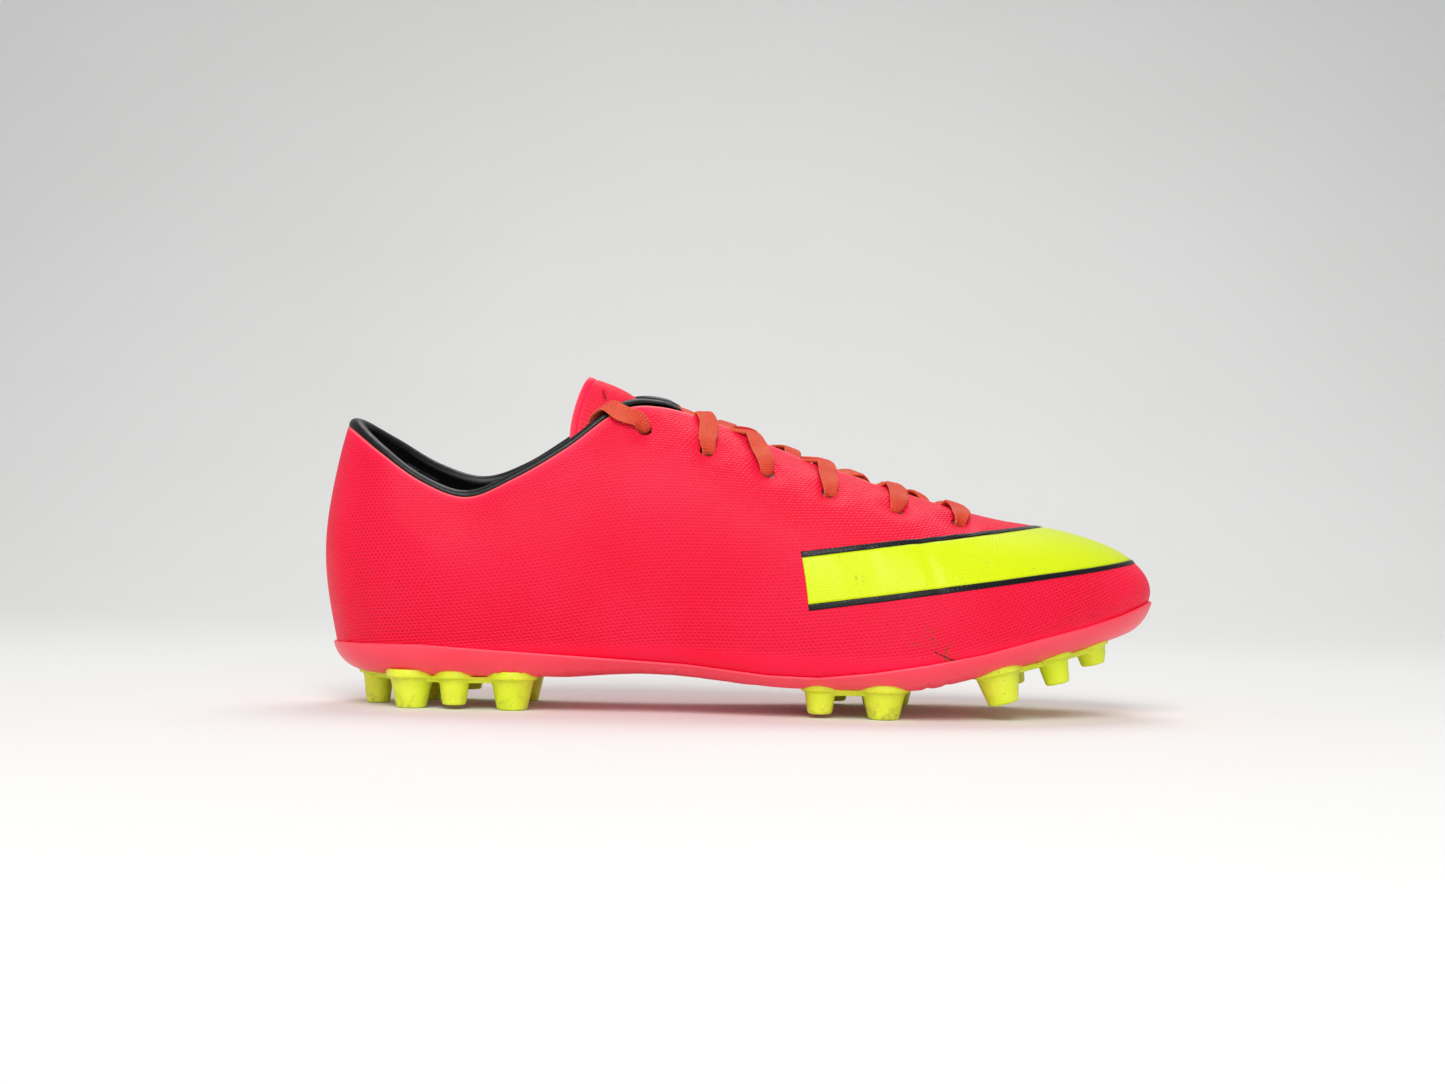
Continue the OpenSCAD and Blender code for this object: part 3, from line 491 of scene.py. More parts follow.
class Shader:
    """A material under construction."""

    def __init__(self, name, roughness, **inputs):
        self.material = bpy.data.materials.new(name)
        self.material.use_nodes = True
        self.tree = self.material.node_tree
        self.bsdf = self.tree.nodes["Principled BSDF"]
        self.link(roughness, self.bsdf.inputs["Roughness"])
        for key, value in inputs.items():
            self.link(value, self.bsdf.inputs[key.replace("_", " ")])

    def node(self, kind, **settings):
        made = self.tree.nodes.new("ShaderNode" + kind)
        for key, value in settings.items():
            setattr(made, key, value)
        return made

    def link(self, value, socket):
        if isinstance(value, bpy.types.NodeSocket):
            self.tree.links.new(value, socket)
        else:
            socket.default_value = value

    def math(self, operation, *values):
        made = self.node("Math", operation=operation)
        for value, socket in zip(values, made.inputs):
            self.link(value, socket)
        return made.outputs[0]

    def mix(self, factor, first, second):
        made = self.node("Mix", data_type="RGBA")
        self.link(factor, made.inputs[0])
        self.link(first, made.inputs[6])
        self.link(second, made.inputs[7])
        return made.outputs[2]

    def times(self, first, second):
        return self.math("MULTIPLY", first, second)

    def plus(self, first, second):
        return self.math("ADD", first, second)

    def less(self, first, second):
        return self.math("SUBTRACT", first, second)

    def ramp(self, value, low, high):
        """0 below low, 1 above high, smooth between."""
        made = self.node("MapRange", interpolation_type="SMOOTHSTEP")
        self.link(value, made.inputs["Value"])
        self.link(low, made.inputs["From Min"])
        self.link(high, made.inputs["From Max"])
        return made.outputs[0]

    def fall(self, value, low, high):
        """1 below low, 0 above high, smooth between."""
        return self.less(1.0, self.ramp(value, low, high))

    def split(self, vector):
        made = self.node("SeparateXYZ")
        self.link(vector, made.inputs[0])
        return tuple(made.outputs)

    def uv(self):
        return self.split(self.node("UVMap", uv_map="surface").outputs[0])[:2]

    def place(self):
        return self.node("TexCoord").outputs["Object"]

    def place_xyz(self):
        return self.split(self.place())

    def noise(self, scale, detail=3.0, roughness=0.5):
        made = self.node("TexNoise")
        self.link(self.place(), made.inputs["Vector"])
        self.link(scale, made.inputs["Scale"])
        self.link(detail, made.inputs["Detail"])
        self.link(roughness, made.inputs["Roughness"])
        return made.outputs[0]

    def cloudy(self, scale, first, second):
        """A colour that drifts between two."""
        return self.mix(self.ramp(self.noise(scale), 0.3, 0.7), first, second)

    def uneven(self, low, spread, value):
        """A roughness that a value from 0 to 1 raises from low by the spread."""
        return self.plus(low, self.times(value, spread))

    def specks(self, scale, size, where):
        """1 in scattered small round spots, in patches of the coarser noise scale where."""
        made = self.node("TexVoronoi")
        self.link(self.place(), made.inputs["Vector"])
        self.link(scale, made.inputs["Scale"])
        spots = self.fall(made.outputs["Distance"], size * 0.6, size)
        return self.times(spots, self.ramp(self.noise(where), 0.52, 0.62))

    def attribute(self, name):
        return self.node("Attribute", attribute_name=name).outputs["Fac"]

    def bump(self, height, depth, normal=None):
        """A normal bent by a height from 0 to 1 that stands for a depth in millimetres."""
        made = self.node("Bump")
        self.link(1.0, made.inputs["Strength"])
        self.link(depth * MM, made.inputs["Distance"])
        self.link(height, made.inputs["Height"])
        if normal is not None:
            self.link(normal, made.inputs["Normal"])
        return made.outputs[0]

    def grain(self, scale, depth, detail=2.0):
        return self.bump(self.noise(scale, detail), depth)

    def near(self, centre, radius):
        """1 at a place on the object, falling to 0 at a radius, both in millimetres."""
        made = self.node("VectorMath", operation="DISTANCE")
        self.link(self.place(), made.inputs[0])
        self.link([c * MM for c in centre], made.inputs[1])
        return self.fall(made.outputs["Value"], radius * MM * 0.3, radius * MM)

    def finish(self, colour=None, roughness=None, normal=None):
        for value, name in ((colour, "Base Color"), (roughness, "Roughness"), (normal, "Normal")):
            if value is not None:
                self.link(value, self.bsdf.inputs[name])
        return self.material


def staggered(shader, x, y, pitch_x, pitch_y, turn=0.0):
    """A field of staggered dashes: 1 in the middle of a dash, 0 between dashes."""
    c, s = math.cos(turn), math.sin(turn)
    times, plus = shader.times, shader.plus
    along = shader.less(times(x, c / pitch_x), times(y, -s / pitch_x))
    up = plus(times(x, -s / pitch_y), times(y, c / pitch_y))
    row = shader.math("ABSOLUTE", shader.math("FLOOR", up))
    along = plus(along, times(shader.math("MODULO", row, 2.0), 0.5))
    far = []
    for value, power in ((along, 2.6), (up, 2.0)):
        off = times(shader.less(shader.math("FRACT", value), 0.5), 2.0)
        far.append(shader.math("POWER", shader.math("ABSOLUTE", off), power))
    return shader.fall(plus(*far), 0.15, 0.85)


# ------------ materials
RED = linear(255, 8, 56)
# The darker red painted into the emboss's sunk dashes as their shade.
RED_HOLLOW_SHADE = linear(204, 0, 34)
RED_EDGE = linear(255, 104, 108)
YELLOW = linear(206, 224, 0)
BLACK = linear(9, 8, 10)
# The emboss: how far apart its dashes are, along and across, in millimetres, and how they turn.
EMBOSS_PITCH = (1.55, 1.1)
EMBOSS_TURN = 6 * DEG
# The lace's weave: how far apart its ribs and its stitches are, in millimetres.
LACE_RIB_PITCH = 0.82
LACE_STITCH = 0.75
KNIT_PITCH = (0.9, 0.7)
# The cut, in metres: where its middle is along the shoe and up, its slope, its bend, and half its length.
CUT_AT = (0.0645, 0.0212)
CUT_SLOPE = 0.42
CUT_BEND = 28.0
CUT_HALF = 0.0048
# The scuff is two round areas: the centre and the radius, in millimetres.
SCUFFS = (((59, -45, 26), 7.0), ((66, -45, 21), 6.0))


def cut_mark(shader):
    """1 along one thin curved cut low on the forefoot's lateral side."""
    times, plus, less = shader.times, shader.plus, shader.less
    x, y, z = shader.place_xyz()
    along = less(x, CUT_AT[0])
    bend = times(times(along, along), CUT_BEND)
    off = plus(less(z, CUT_AT[1]), less(times(along, CUT_SLOPE), bend))
    off = plus(shader.math("ABSOLUTE", off), times(shader.noise(700.0), 0.0007))
    line = shader.fall(off, 0.0004, 0.0008)
    ends = shader.fall(shader.math("ABSOLUTE", along), 0.0025, CUT_HALF)
    return times(times(line, ends), shader.fall(y, -0.02, -0.01))


def add_wear(shader, colour):
    """Small dark pits over the forefoot and one brown scuff low on its lateral side."""
    forward = shader.ramp(shader.place_xyz()[0], -0.045, 0.09)
    colour = shader.mix(shader.times(shader.specks(260.0, 0.1, 38.0), forward), colour, linear(110, 8, 20))
    places = [shader.near(centre, radius) for centre, radius in SCUFFS]
    streak = shader.ramp(shader.noise(420.0, 6.0, 0.7), 0.53, 0.62)
    scuff = shader.times(shader.math("MAXIMUM", *places), streak)
    colour = shader.mix(shader.times(scuff, 0.8), colour, linear(150, 60, 20))
    return shader.mix(cut_mark(shader), colour, linear(52, 40, 34))


def upper_material(name, emboss, pitch):
    """The embossed synthetic, with painted shade in the sunk dashes of its emboss. The mesh says where its
    pattern, its pale edges and its painted shade are: on its inner face and in the tongue's slit.
    """
    shader = Shader(name, 0.46, Specular_IOR_Level=0.22)
    depth = shader.times(staggered(shader, *shader.uv(), *pitch, EMBOSS_TURN), shader.attribute("emboss"))
    colour = shader.cloudy(26.0, RED, linear(255, 24, 70))
    # Painted shade: the emboss's sunk dashes are coloured a darker red, as their hollows would be shaded.
    colour = shader.mix(shader.times(depth, 0.68), colour, RED_HOLLOW_SHADE)
    colour = shader.mix(shader.times(shader.attribute("edge"), 0.8), colour, RED_EDGE)
    colour = add_wear(shader, colour)
    # Painted shade: where the mesh's dark attribute says, the red turns towards a near black, on the upper's
    # inner face and in the tongue's slit.
    colour = shader.mix(shader.attribute("dark"), colour, linear(40, 4, 10))
    normal = shader.bump(shader.times(depth, -1.0), emboss, shader.grain(2600.0, 0.04))
    return shader.finish(colour, shader.uneven(0.4, 0.14, shader.noise(60.0)), normal)


def plate_material():
    shader = Shader("moulded_plate", 0.34, Specular_IOR_Level=0.45)
    colour = shader.cloudy(30.0, linear(255, 60, 84), linear(255, 72, 94))
    dust = shader.times(shader.ramp(shader.noise(240.0, 5.0, 0.65), 0.56, 0.72), 0.35)
    low = shader.fall(shader.place_xyz()[2], 0.009, 0.0145)
    colour = shader.mix(shader.times(dust, low), colour, linear(150, 96, 70))
    rough = shader.uneven(0.3, 0.16, shader.noise(120.0, 4.0))
    return shader.finish(colour, rough, shader.grain(900.0, 0.04, 3.0))


def stud_material():
    shader = Shader("stud_polyurethane", 0.42, Specular_IOR_Level=0.45, Subsurface_Weight=0.35)
    shader.link((0.004, 0.005, 0.001), shader.bsdf.inputs["Subsurface Radius"])
    shader.link(0.6, shader.bsdf.inputs["Subsurface Scale"])
    colour = shader.cloudy(75.0, linear(214, 236, 22), linear(228, 240, 60))
    tip = shader.fall(shader.place_xyz()[2], 0.0005, 0.006)
    grime = shader.ramp(shader.noise(320.0, 6.0, 0.7), 0.44, 0.68)
    dirt = shader.times(grime, shader.plus(0.12, shader.times(tip, 0.5)))
    colour = shader.mix(dirt, colour, linear(170, 140, 70))
    colour = shader.mix(shader.specks(420.0, 0.12, 70.0), colour, linear(96, 76, 40))
    return shader.finish(colour, shader.uneven(0.36, 0.25, grime), shader.grain(700.0, 0.06, 3.0))


def lace_material():
    shader = Shader("woven_lace", 0.72, Sheen_Weight=0.1, Sheen_Roughness=0.5, Specular_IOR_Level=0.2)
    x, y = shader.uv()
    rib = shader.math("SINE", shader.times(x, 2 * math.pi / LACE_RIB_PITCH))
    lean = shader.times(shader.math("ABSOLUTE", rib), 0.35)
    stitch = shader.math("SINE", shader.times(shader.plus(y, lean), 2 * math.pi / LACE_STITCH))
    weave = shader.times(shader.ramp(stitch, -0.7, 0.7), shader.ramp(rib, -1.0, 0.6))
    # Painted shade and highlight: the weave's raised yarn is coloured lighter and its hollows darker,
    # following its bump.
    colour = shader.mix(weave, linear(224, 46, 20), linear(255, 132, 86))
    cloud = shader.times(shader.ramp(shader.noise(90.0), 0.35, 0.75), 0.4)
    colour = shader.mix(cloud, colour, linear(255, 128, 88))
    return shader.finish(colour, None, shader.bump(weave, 0.4, shader.grain(3200.0, 0.05)))


def collar_material():
    shader = Shader("collar_synthetic", 0.38, Specular_IOR_Level=0.35)
    colour = shader.cloudy(60.0, linear(4, 4, 5), linear(11, 10, 12))
    wrinkle = shader.bump(shader.noise(160.0, 4.0, 0.55), 0.3, shader.grain(2400.0, 0.03))
    return shader.finish(colour, shader.uneven(0.3, 0.2, shader.noise(300.0)), wrinkle)


def knit_material(name, dark, light):
    """A knitted or woven textile in fine staggered loops, with painted shade between the loops."""
    shader = Shader(name, 0.85, Sheen_Weight=0.3, Sheen_Roughness=0.5, Specular_IOR_Level=0.2)
    loop = staggered(shader, *shader.uv(), *KNIT_PITCH)
    # Painted shade: the raised loops take the light colour and the gaps between them the dark one, following
    # the bump.
    colour = shader.mix(loop, dark, light)
    colour = shader.mix(shader.times(shader.ramp(shader.noise(45.0), 0.4, 0.7), 0.35), colour, dark)
    return shader.finish(colour, None, shader.bump(loop, 0.15, shader.grain(2600.0, 0.05)))


def film_material(name, base, mark, marks):
    """A printed film that follows the upper's emboss, with small marks of wear."""
    shader = Shader(name, 0.4, Specular_IOR_Level=0.25)
    dash = shader.times(staggered(shader, *shader.uv(), *EMBOSS_PITCH, EMBOSS_TURN), 0.6)
    fleck = shader.ramp(shader.noise(600.0, 6.0, 0.7), 0.56, 0.7)
    patch = shader.ramp(shader.noise(marks, 2.0), 0.56, 0.66)
    colour = shader.mix(shader.times(fleck, patch), base, mark)
    normal = shader.bump(shader.times(dash, -1.0), 0.06, shader.grain(1500.0, 0.03))
    return shader.finish(colour, shader.uneven(0.32, 0.2, patch), normal)


def plain_material(name, dark, light, rough, scale, depth):
    """A mottled board, foam or sheet."""
    shader = Shader(name, rough)
    grain = shader.noise(scale, 5.0, 0.65)
    colour = shader.mix(shader.ramp(grain, 0.35, 0.65), dark, light)
    return shader.finish(colour, None, shader.bump(grain, depth))


UPPER = upper_material("embossed_upper", 0.26, EMBOSS_PITCH)
TONGUE = upper_material("embossed_tongue", 0.12, (1.1, 0.75))
PLATE = plate_material()
STUD = stud_material()
LACE = lace_material()
COLLAR = collar_material()
LINING = knit_material("pale_lining", linear(150, 138, 134), linear(212, 200, 195))
SOCK = knit_material("sockliner_textile", linear(18, 18, 20), linear(46, 45, 50))
BAND = film_material("yellow_film", YELLOW, linear(170, 180, 30), 45.0)
BAND_EDGE = film_material("black_film", BLACK, linear(105, 100, 104), 30.0)
BOARD = plain_material("fibre_board", linear(168, 146, 110), linear(196, 176, 142), 0.9, 500.0, 0.1)
FOAM = plain_material("closed_cell_foam", linear(38, 38, 42), linear(60, 60, 66), 0.9, 900.0, 0.12)
SHEET = plain_material("stiffener_sheet", linear(198, 196, 188), linear(222, 220, 214), 0.7, 300.0, 0.05)
AGLET = plain_material("aglet_film", linear(214, 60, 34), linear(240, 84, 54), 0.25, 120.0, 0.02)


def paint(piece, material):
    piece.data.materials.clear()
    piece.data.materials.append(material)


def dress(piece, material, body, slot, *nodes):
    """Gives a piece its material, its body, and the CAD nodes that it stands for. Its slot is not used."""
    paint(piece, material)
    if body:
        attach(piece, body)
    if nodes:
        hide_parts(*nodes)
    return piece


# ------------ lace
LACE_STEP = 0.8
LACE_RIBS = 8
LACE_CUP = 3.2
AGLET_LENGTH = 18
AGLET_R = 1.28


def resample(points, extras, step):
    """Catmull-Rom through the stops, then evenly spaced points along it, with the extra columns carried."""
    data = np.concatenate([points, extras], 1)
    last = len(data) - 1
    fine = catmull(data, np.linspace(0, last, last * 24 + 1))
    run = arc_length(fine[:, :3], 0)
    even = np.linspace(0, run[-1], int(run[-1] / step) + 1)
    return np.stack([np.interp(even, run, fine[:, c]) for c in range(fine.shape[1])], 1), run[-1]


def ribbon_axes(stops):
    """The way across the ribbon at each stop, turned over where needed so that neighbours agree."""
    place = np.array([s[0] for s in stops])
    run = unit(np.gradient(place, axis=0))
    across = unit(np.cross(run, np.array([unit(np.asarray(s[1], float)) for s in stops])))
    for k in range(1, len(across)):
        if across[k] @ across[k - 1] < 0:
            across[k] = -across[k]
    return place, across


def lace_section():
    """Half outline of the ribbon: places across it from -1 to 1, and its share of the thickness there."""
    w = np.linspace(-1, 1, 41)
    edge = np.sqrt(np.maximum(1 - np.abs(w) ** 7, 0))
    rib = 0.84 + 0.16 * np.abs(np.cos(w * math.pi * LACE_RIBS / 2))
    return w, edge * rib


def make_lace():
    stops = lace_route()
    place, across = ribbon_axes(stops)
    share = np.array([[s[2]] for s in stops])
    data, length = resample(place, np.concatenate([across, share], 1), LACE_STEP)
    centre, width = data[:, :3], data[:, 6:7]
    run = unit(np.gradient(centre, axis=0))
    side = unit(data[:, 3:6] - run * (data[:, 3:6] * run).sum(1, keepdims=True))
    flat = np.cross(run, side)
    w, thick = lace_section()
    line = np.concatenate([w, w[::-1][1:-1]])
    lift = np.concatenate([thick, -thick[::-1][1:-1]]) * LACE_T / 2
    even = (np.arange(len(centre)) * LACE_STEP)[:, None]
    wave = 0.12 * np.sin(even / 3.1)
    wide = line * LACE_W / 2 * np.minimum(width, 1.0)
    high = lift + (1 - width) * LACE_CUP * line ** 2 + wave * line
    rings = centre[:, None] + side[:, None] * wide[..., None] + flat[:, None] * high[..., None]
    lace = loft("flat_lace", rings, False, strip_uv(line * LACE_W / 2, even))
    dress(lace, LACE, "shoe", "lace", "lace")
    return lace, centre, length


def make_aglets(centre):
    """A crimped film tube on each end of the lace."""
    tips = []
    t = np.linspace(0, 1, 37)
    crimps = hump(t, 0.12, 0.02) + hump(t, 0.88, 0.02)
    radius = AGLET_R * (1 - 0.16 * crimps) * np.sqrt(np.maximum(1 - np.abs(2 * t - 1) ** 24, 0.02))
    turn = np.linspace(0, 2 * math.pi, 24, endpoint=False)[:, None]
    for name, end, before in (("aglet_a", centre[0], centre[3]), ("aglet_b", centre[-1], centre[-4])):
        along = unit(end - before)
        side = unit(np.cross(along, [0, 0, 1]))
        ring = np.cos(turn) * side + np.sin(turn) * np.cross(side, along)
        rings = end + along * (0.1 + AGLET_LENGTH * t)[:, None, None] + ring * radius[:, None, None]
        tips.append(dress(loft(name, rings, False), AGLET, "shoe", "aglet"))
    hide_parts("lace_aglets")
    return tips


lace, lace_line, lace_length = make_lace()
aglets = make_aglets(lace_line)

# ------------ upper
U_FINE = np.arange(0, RIB_COUNT, 1 / 14)
V_FINE = np.concatenate([np.linspace(0, CORNER_V, 8)[:-1], np.linspace(CORNER_V, 1, 78)])
UPPER_T = 1.2
# The cut edge's outline, from the outer face to the inner one: [out along the normal, up past the edge].
LIP = [(-0.06, 0.2), (-0.22, 0.34), (-0.6, 0.4), (-0.98, 0.34), (-1.14, 0.2)]
EYELET_SIDES = 28


def emboss_share(points, v):
    """How deep the upper's pattern is, and how strongly its sunk dashes get their painted shade: it fades at
    the top line, over the lasted edge, and on the toe.
    """
    x = points[..., 0]
    toe = 1 - 0.6 * ease((x - 112) / 20)
    heel = 1 - 0.6 * ease((-122 - x) / 14)
    return toe * heel * ease((0.985 - v) / 0.03) * ease((v - 0.1) / 0.05)


def make_upper():
    edge_at = edge_v(U_FINE)
    v = V_FINE - (1 - edge_at)[:, None] * ease((V_FINE - 0.86) / 0.14)
    outer = skin(U_FINE[:, None], v, 0 * v)
    inner = skin(U_FINE[:, None], v, 0 * v - UPPER_T)[:, ::-1]
    top, normal, up = outer[:, -1], face_normal(U_FINE, edge_at), edge_rise(U_FINE)
    rings = np.concatenate([outer, np.stack([top + normal * a + up * b for a, b in LIP], 1), inner], 1)
    cols = len(V_FINE)
    inside = cols + len(LIP)
    back = [cols - 1] * len(LIP) + list(range(cols - 1, -1, -1))
    both = surface_uv(np.append(U_FINE, RIB_COUNT), V_FINE)
    uv = np.concatenate([both, both[:, back], both[:, :1]], 1)
    emboss, edge, dark = np.zeros((3,) + rings.shape[:2])
    emboss[:, :cols] = emboss_share(outer, V_FINE)
    edge[:, cols - 1:inside] = 1
    # Painted shade: the inner face is darkened, as the inside of the shoe lies in shadow.
    dark[:, inside:] = 0.4
    piece = loft("upper", rings, True, uv, {"emboss": emboss, "edge": edge, "dark": dark})
    punch(piece)
    dress(piece, UPPER, "shoe", "upper", "upper_shell", "back_strip")


def punch(piece, rows=range(ROWS)):
    """Cuts the eyelets out of a layer of the upper, with a round bar through each."""
    verts, faces = [], []
    turn = np.linspace(0, 2 * math.pi, EYELET_SIDES, endpoint=False)[:, None]
    low, high = np.arange(EYELET_SIDES), np.arange(EYELET_SIDES) + EYELET_SIDES
    bar = np.stack([low, np.roll(low, -1), np.roll(high, -1), high], 1).tolist()
    bar += [low[::-1].tolist(), high.tolist()]
    for side in (LATERAL, MEDIAL):
        for row in rows:
            u, v = eyelet_u(side, row), EYELETS[row][1]
            normal = face_normal(u, v)
            a = unit(np.cross(normal, [0, 0, 1.0]))
            ring = (np.cos(turn) * a + np.sin(turn) * np.cross(normal, a)) * EYELET_R
            faces += [[len(verts) + k for k in face] for face in bar]
            verts += [*(shell_point(u, v, -9) + ring), *(shell_point(u, v, 4) + ring)]
    mesh = bpy.data.meshes.new("punch")
    mesh.from_pydata((np.array(verts) * MM).tolist(), [], faces)
    cutter = add_object("punch", mesh)
    cut = piece.modifiers.new("punch", "BOOLEAN")
    cut.operation = "DIFFERENCE"
    cut.solver = "EXACT"
    cut.object = cutter
    apply_modifiers(piece)
    bpy.data.objects.remove(cutter)


def apply_modifiers(piece):
    """Replaces a piece's mesh with what its modifiers make of it."""
    graph = bpy.context.evaluated_depsgraph_get()
    mesh = bpy.data.meshes.new_from_object(piece.evaluated_get(graph))
    piece.modifiers.clear()
    piece.data = mesh


make_upper()

# ------------ lining and collar
PALE_EDGE_AT = RIB_COUNT - 9.3
COLLAR_FOOT_V = 0.31
COLLAR_TOP_V = 0.962
LINING_BACK = 2.6


def step_in(v):
    """Low on the wall the collar lies over the quarter lining, so it steps in by its own thickness."""
    return COLLAR_SKIN * (1 - ease((v - 0.64) / 0.08))


def make_lining():
    """The textile lining, with a soft rounded edge along the throat."""
    us = np.arange(0, RIB_COUNT, 1 / 8)
    s = np.abs(signed_rib(us))
    top = 0.6 + (edge_v(us) - 0.015 - 0.6) * ease((s - COLLAR_END - 0.05) / 0.2)
    vs = 0.1 + (top[:, None] - 0.1) * np.linspace(0, 1, 44)
    u = us[:, None] + 0 * vs
    outer = shell_point(u, vs, -LINING_BACK + 0 * vs)
    inner = shell_point(u, vs, -LINING_DEPTH + 0 * vs)
    raised = 2.6 * hump(us, PALE_EDGE_AT, 0.45) + 0.5 * ease((s - 8.8) / 0.5)
    normal, up = face_normal(us, top), unit(face_point(us, top) - face_point(us, top - 0.04))
    middle = (outer[:, -1] + inner[:, -1]) / 2
    half = np.linalg.norm(outer[:, -1] - inner[:, -1], axis=1)[:, None] / 2
    rise = half * (1 + 0.5 * ease((s - 9) / 0.5))[:, None] + raised[:, None]
    turn = np.linspace(0, math.pi, 7)
    rim = np.stack([middle + normal * half * math.cos(a) + up * rise * math.sin(a) for a in turn], 1)
    rings = np.concatenate([outer, rim, inner[:, ::-1]], 1)
    run = arc_length(face_point(us, 0.5), 0)
    uv = strip_uv(run[:, None], arc_length(rings, 1))
    uv = np.concatenate([uv, uv[:1] + [run[-1] + 2.4, 0]], 0)
    piece = loft("quarter_lining_knit", rings, True, uv)
    dress(piece, LINING, "shoe", "lining", "quarter_lining")


def collar_side(us, end, skin_t):
    """The collar's seen face, or its back at a skin's thickness under it: up the wall, then over the bead."""
    rows = []
    for v in np.linspace(COLLAR_FOOT_V, COLLAR_TOP_V, 52):
        crease = 0.9 * math.exp(-((v - 0.955) / 0.014) ** 2)
        sag = 0.22 * np.sin(us * 2.7 + 9 * v) * ease((v - 0.5) / 0.2)
        off = skin_t if skin_t else crease + sag
        rows.append(shell_point(us, v + 0 * us, off - collar_swell(us, v) - 0.1 - step_in(v)))
    radius = COLLAR_ROLL_R - skin_t
    for a in np.linspace(205, -25, 19) * DEG:
        out = -COLLAR_ROLL_R + radius * math.cos(a) * end
        rows.append(edge_point(us, out, (roll_up(us) + radius * math.sin(a)) * end))
    return np.stack(rows, 1)


def make_collar():
    """The padded collar: a rolled bead over the edge, a sewn crease under it, then the soft ankle padding."""
    us = np.arange(-COLLAR_END, COLLAR_END + 0.01, 1 / 16)
    end = np.sqrt(np.clip((COLLAR_END - np.abs(us)) / 0.12, 0.1, 1))
    face, back = collar_side(us, end, 0), collar_side(us, end, COLLAR_SKIN)
    piece = loft("padded_collar", np.concatenate([face, back[:, ::-1]], 1), False)
    punch(piece, rows=(ROWS - 1,))
    dress(piece, COLLAR, "shoe", "collar", "collar_lining")


make_lining()
make_collar()

# ------------ side band
BAND_HALF = 7.5
BAND_EDGE_W = 2.2
BAND_START = 9.5
BAND_Z = 41.5
BAND_SLOPE = 0.14
FILM_TOP = 0.26
FILM_FOOT = 0.02


def plane_v(us, height):
    """The height share where each rib crosses a plane at this height over the band's middle, by halving."""
    low, high = np.full(us.shape, CORNER_V), np.ones(us.shape)
    for _ in range(16):
        middle = (low + high) / 2
        p = face_point(us, middle)
        above = p[..., 2] - BAND_Z - BAND_SLOPE * p[..., 0] > height
        low, high = np.where(above, low, middle), np.where(above, middle, high)
    return (low + high) / 2


def band_strip(name, low, high, cols, material, slot, *nodes):
    """A printed strip between two rows of height shares, that follows the upper's small reliefs."""
    us = np.linspace(BAND_START, RIB_COUNT - BAND_START, 760)
    share = np.linspace(0, 1, cols)
    v = low(us)[:, None] * (1 - share) + high(us)[:, None] * share
    u = us[:, None] + 0 * v
    sunk = np.where((share == 0) | (share == 1), 0.12, 0)
    outer = skin(u, v, FILM_TOP - sunk + 0 * v)
    inner = skin(u, v, FILM_FOOT + 0 * v)[:, ::-1]
    run = arc_length(outer[:, cols // 2], 0)
    across = there_and_back(arc_length(outer[len(us) // 4], 0))
    piece = loft(name, np.concatenate([outer, inner], 1), False, strip_uv(run[:, None], across))
    dress(piece, material, "shoe", slot, *nodes)


def band_edge(side, width):
    """The height shares at a distance outside one edge of the band."""
    return lambda us: plane_v(us, side * BAND_HALF) + side * width * share_per_mm(us)


LOW, LOW_OUT = band_edge(-1, 0), band_edge(-1, BAND_EDGE_W)
HIGH, HIGH_OUT = band_edge(1, 0), band_edge(1, BAND_EDGE_W)
band_strip("side_band_film", LOW, HIGH, 25, BAND, "band", "side_band")
band_strip("side_band_edge_low", LOW_OUT, LOW, 7, BAND_EDGE, "band_edge", "side_band_edge")
band_strip("side_band_edge_high", HIGH, HIGH_OUT, 7, BAND_EDGE, "band_edge")


# ------------ plate and sockliner
# The rand's thickness, and its lip as [out from the upper, up past the rand's top].
RAND_T = 1.05
RAND_LIP = [(0.98, 0.16), (0.75, 0.3), (0.42, 0.34), (0.2, 0.2)]


def rand_v(us):
    """The height share where the plate stops cupping the upper."""
    foot, out = rib_end(us, 0), out_direction(us)
    bottom = floor_z((foot - out * CORNER_IN)[..., 0])
    top = np.interp(foot[..., 0], RAND_LINE[:, 0], RAND_LINE[:, 1])
    share = np.clip((top - bottom) / (foot[..., 2] - bottom), 0.08, 1)
    return CORNER_V * np.arccos(1 - share * (1 - math.cos(CORNER_SWEEP))) / CORNER_SWEEP


def cross_cap(rows, row, splits, height, base, flip):
    """Closes one row across the foot with rows of quads. Returns new points and faces."""
    ring = rows[:, row]
    n = len(ring)
    half = n // 2
    new, index = [], {}
    for i in range(1, half):
        a, b = ring[i], ring[n - i]
        for k in range(1, splits):
            x, y, z = a + (b - a) * (k / splits)
            index[i, k] = base + len(new)
            new.append([x, y, height(x, y, z)])

    def at(i, k):
        if k == 0 or i in (0, half):
            return row * n + i
        return row * n + n - i if k == splits else index[i, k]

    faces = []
    for i in range(half):
        for k in range(splits):
            quad = [at(i, k), at(i + 1, k), at(i + 1, k + 1), at(i, k + 1)]
            quad = [q for j, q in enumerate(quad) if q != quad[j - 1]]
            faces.append(quad[::-1] if flip else quad)
    return new, faces


def capped_sides(name, rows, low_height, high_height, splits):
    """A solid with side rows going round the foot, closed across at its first and last rows."""
    n, cols = rows.shape[:2]
    verts = rows.transpose(1, 0, 2).reshape(-1, 3).tolist()
    j, i = np.divmod(np.arange((cols - 1) * n), n)
    k = (i + 1) % n
    faces = np.stack([j * n + i, (j + 1) * n + i, (j + 1) * n + k, j * n + k], 1).tolist()
    for row, height, flip in ((0, low_height, False), (cols - 1, high_height, True)):
        new, cap = cross_cap(rows, row, splits, height, len(verts), flip)
        verts += new
        faces += cap
    corners = [corner for face in faces for corner in face]
    return add_mesh(name, verts, faces, np.array(verts)[corners, :2])


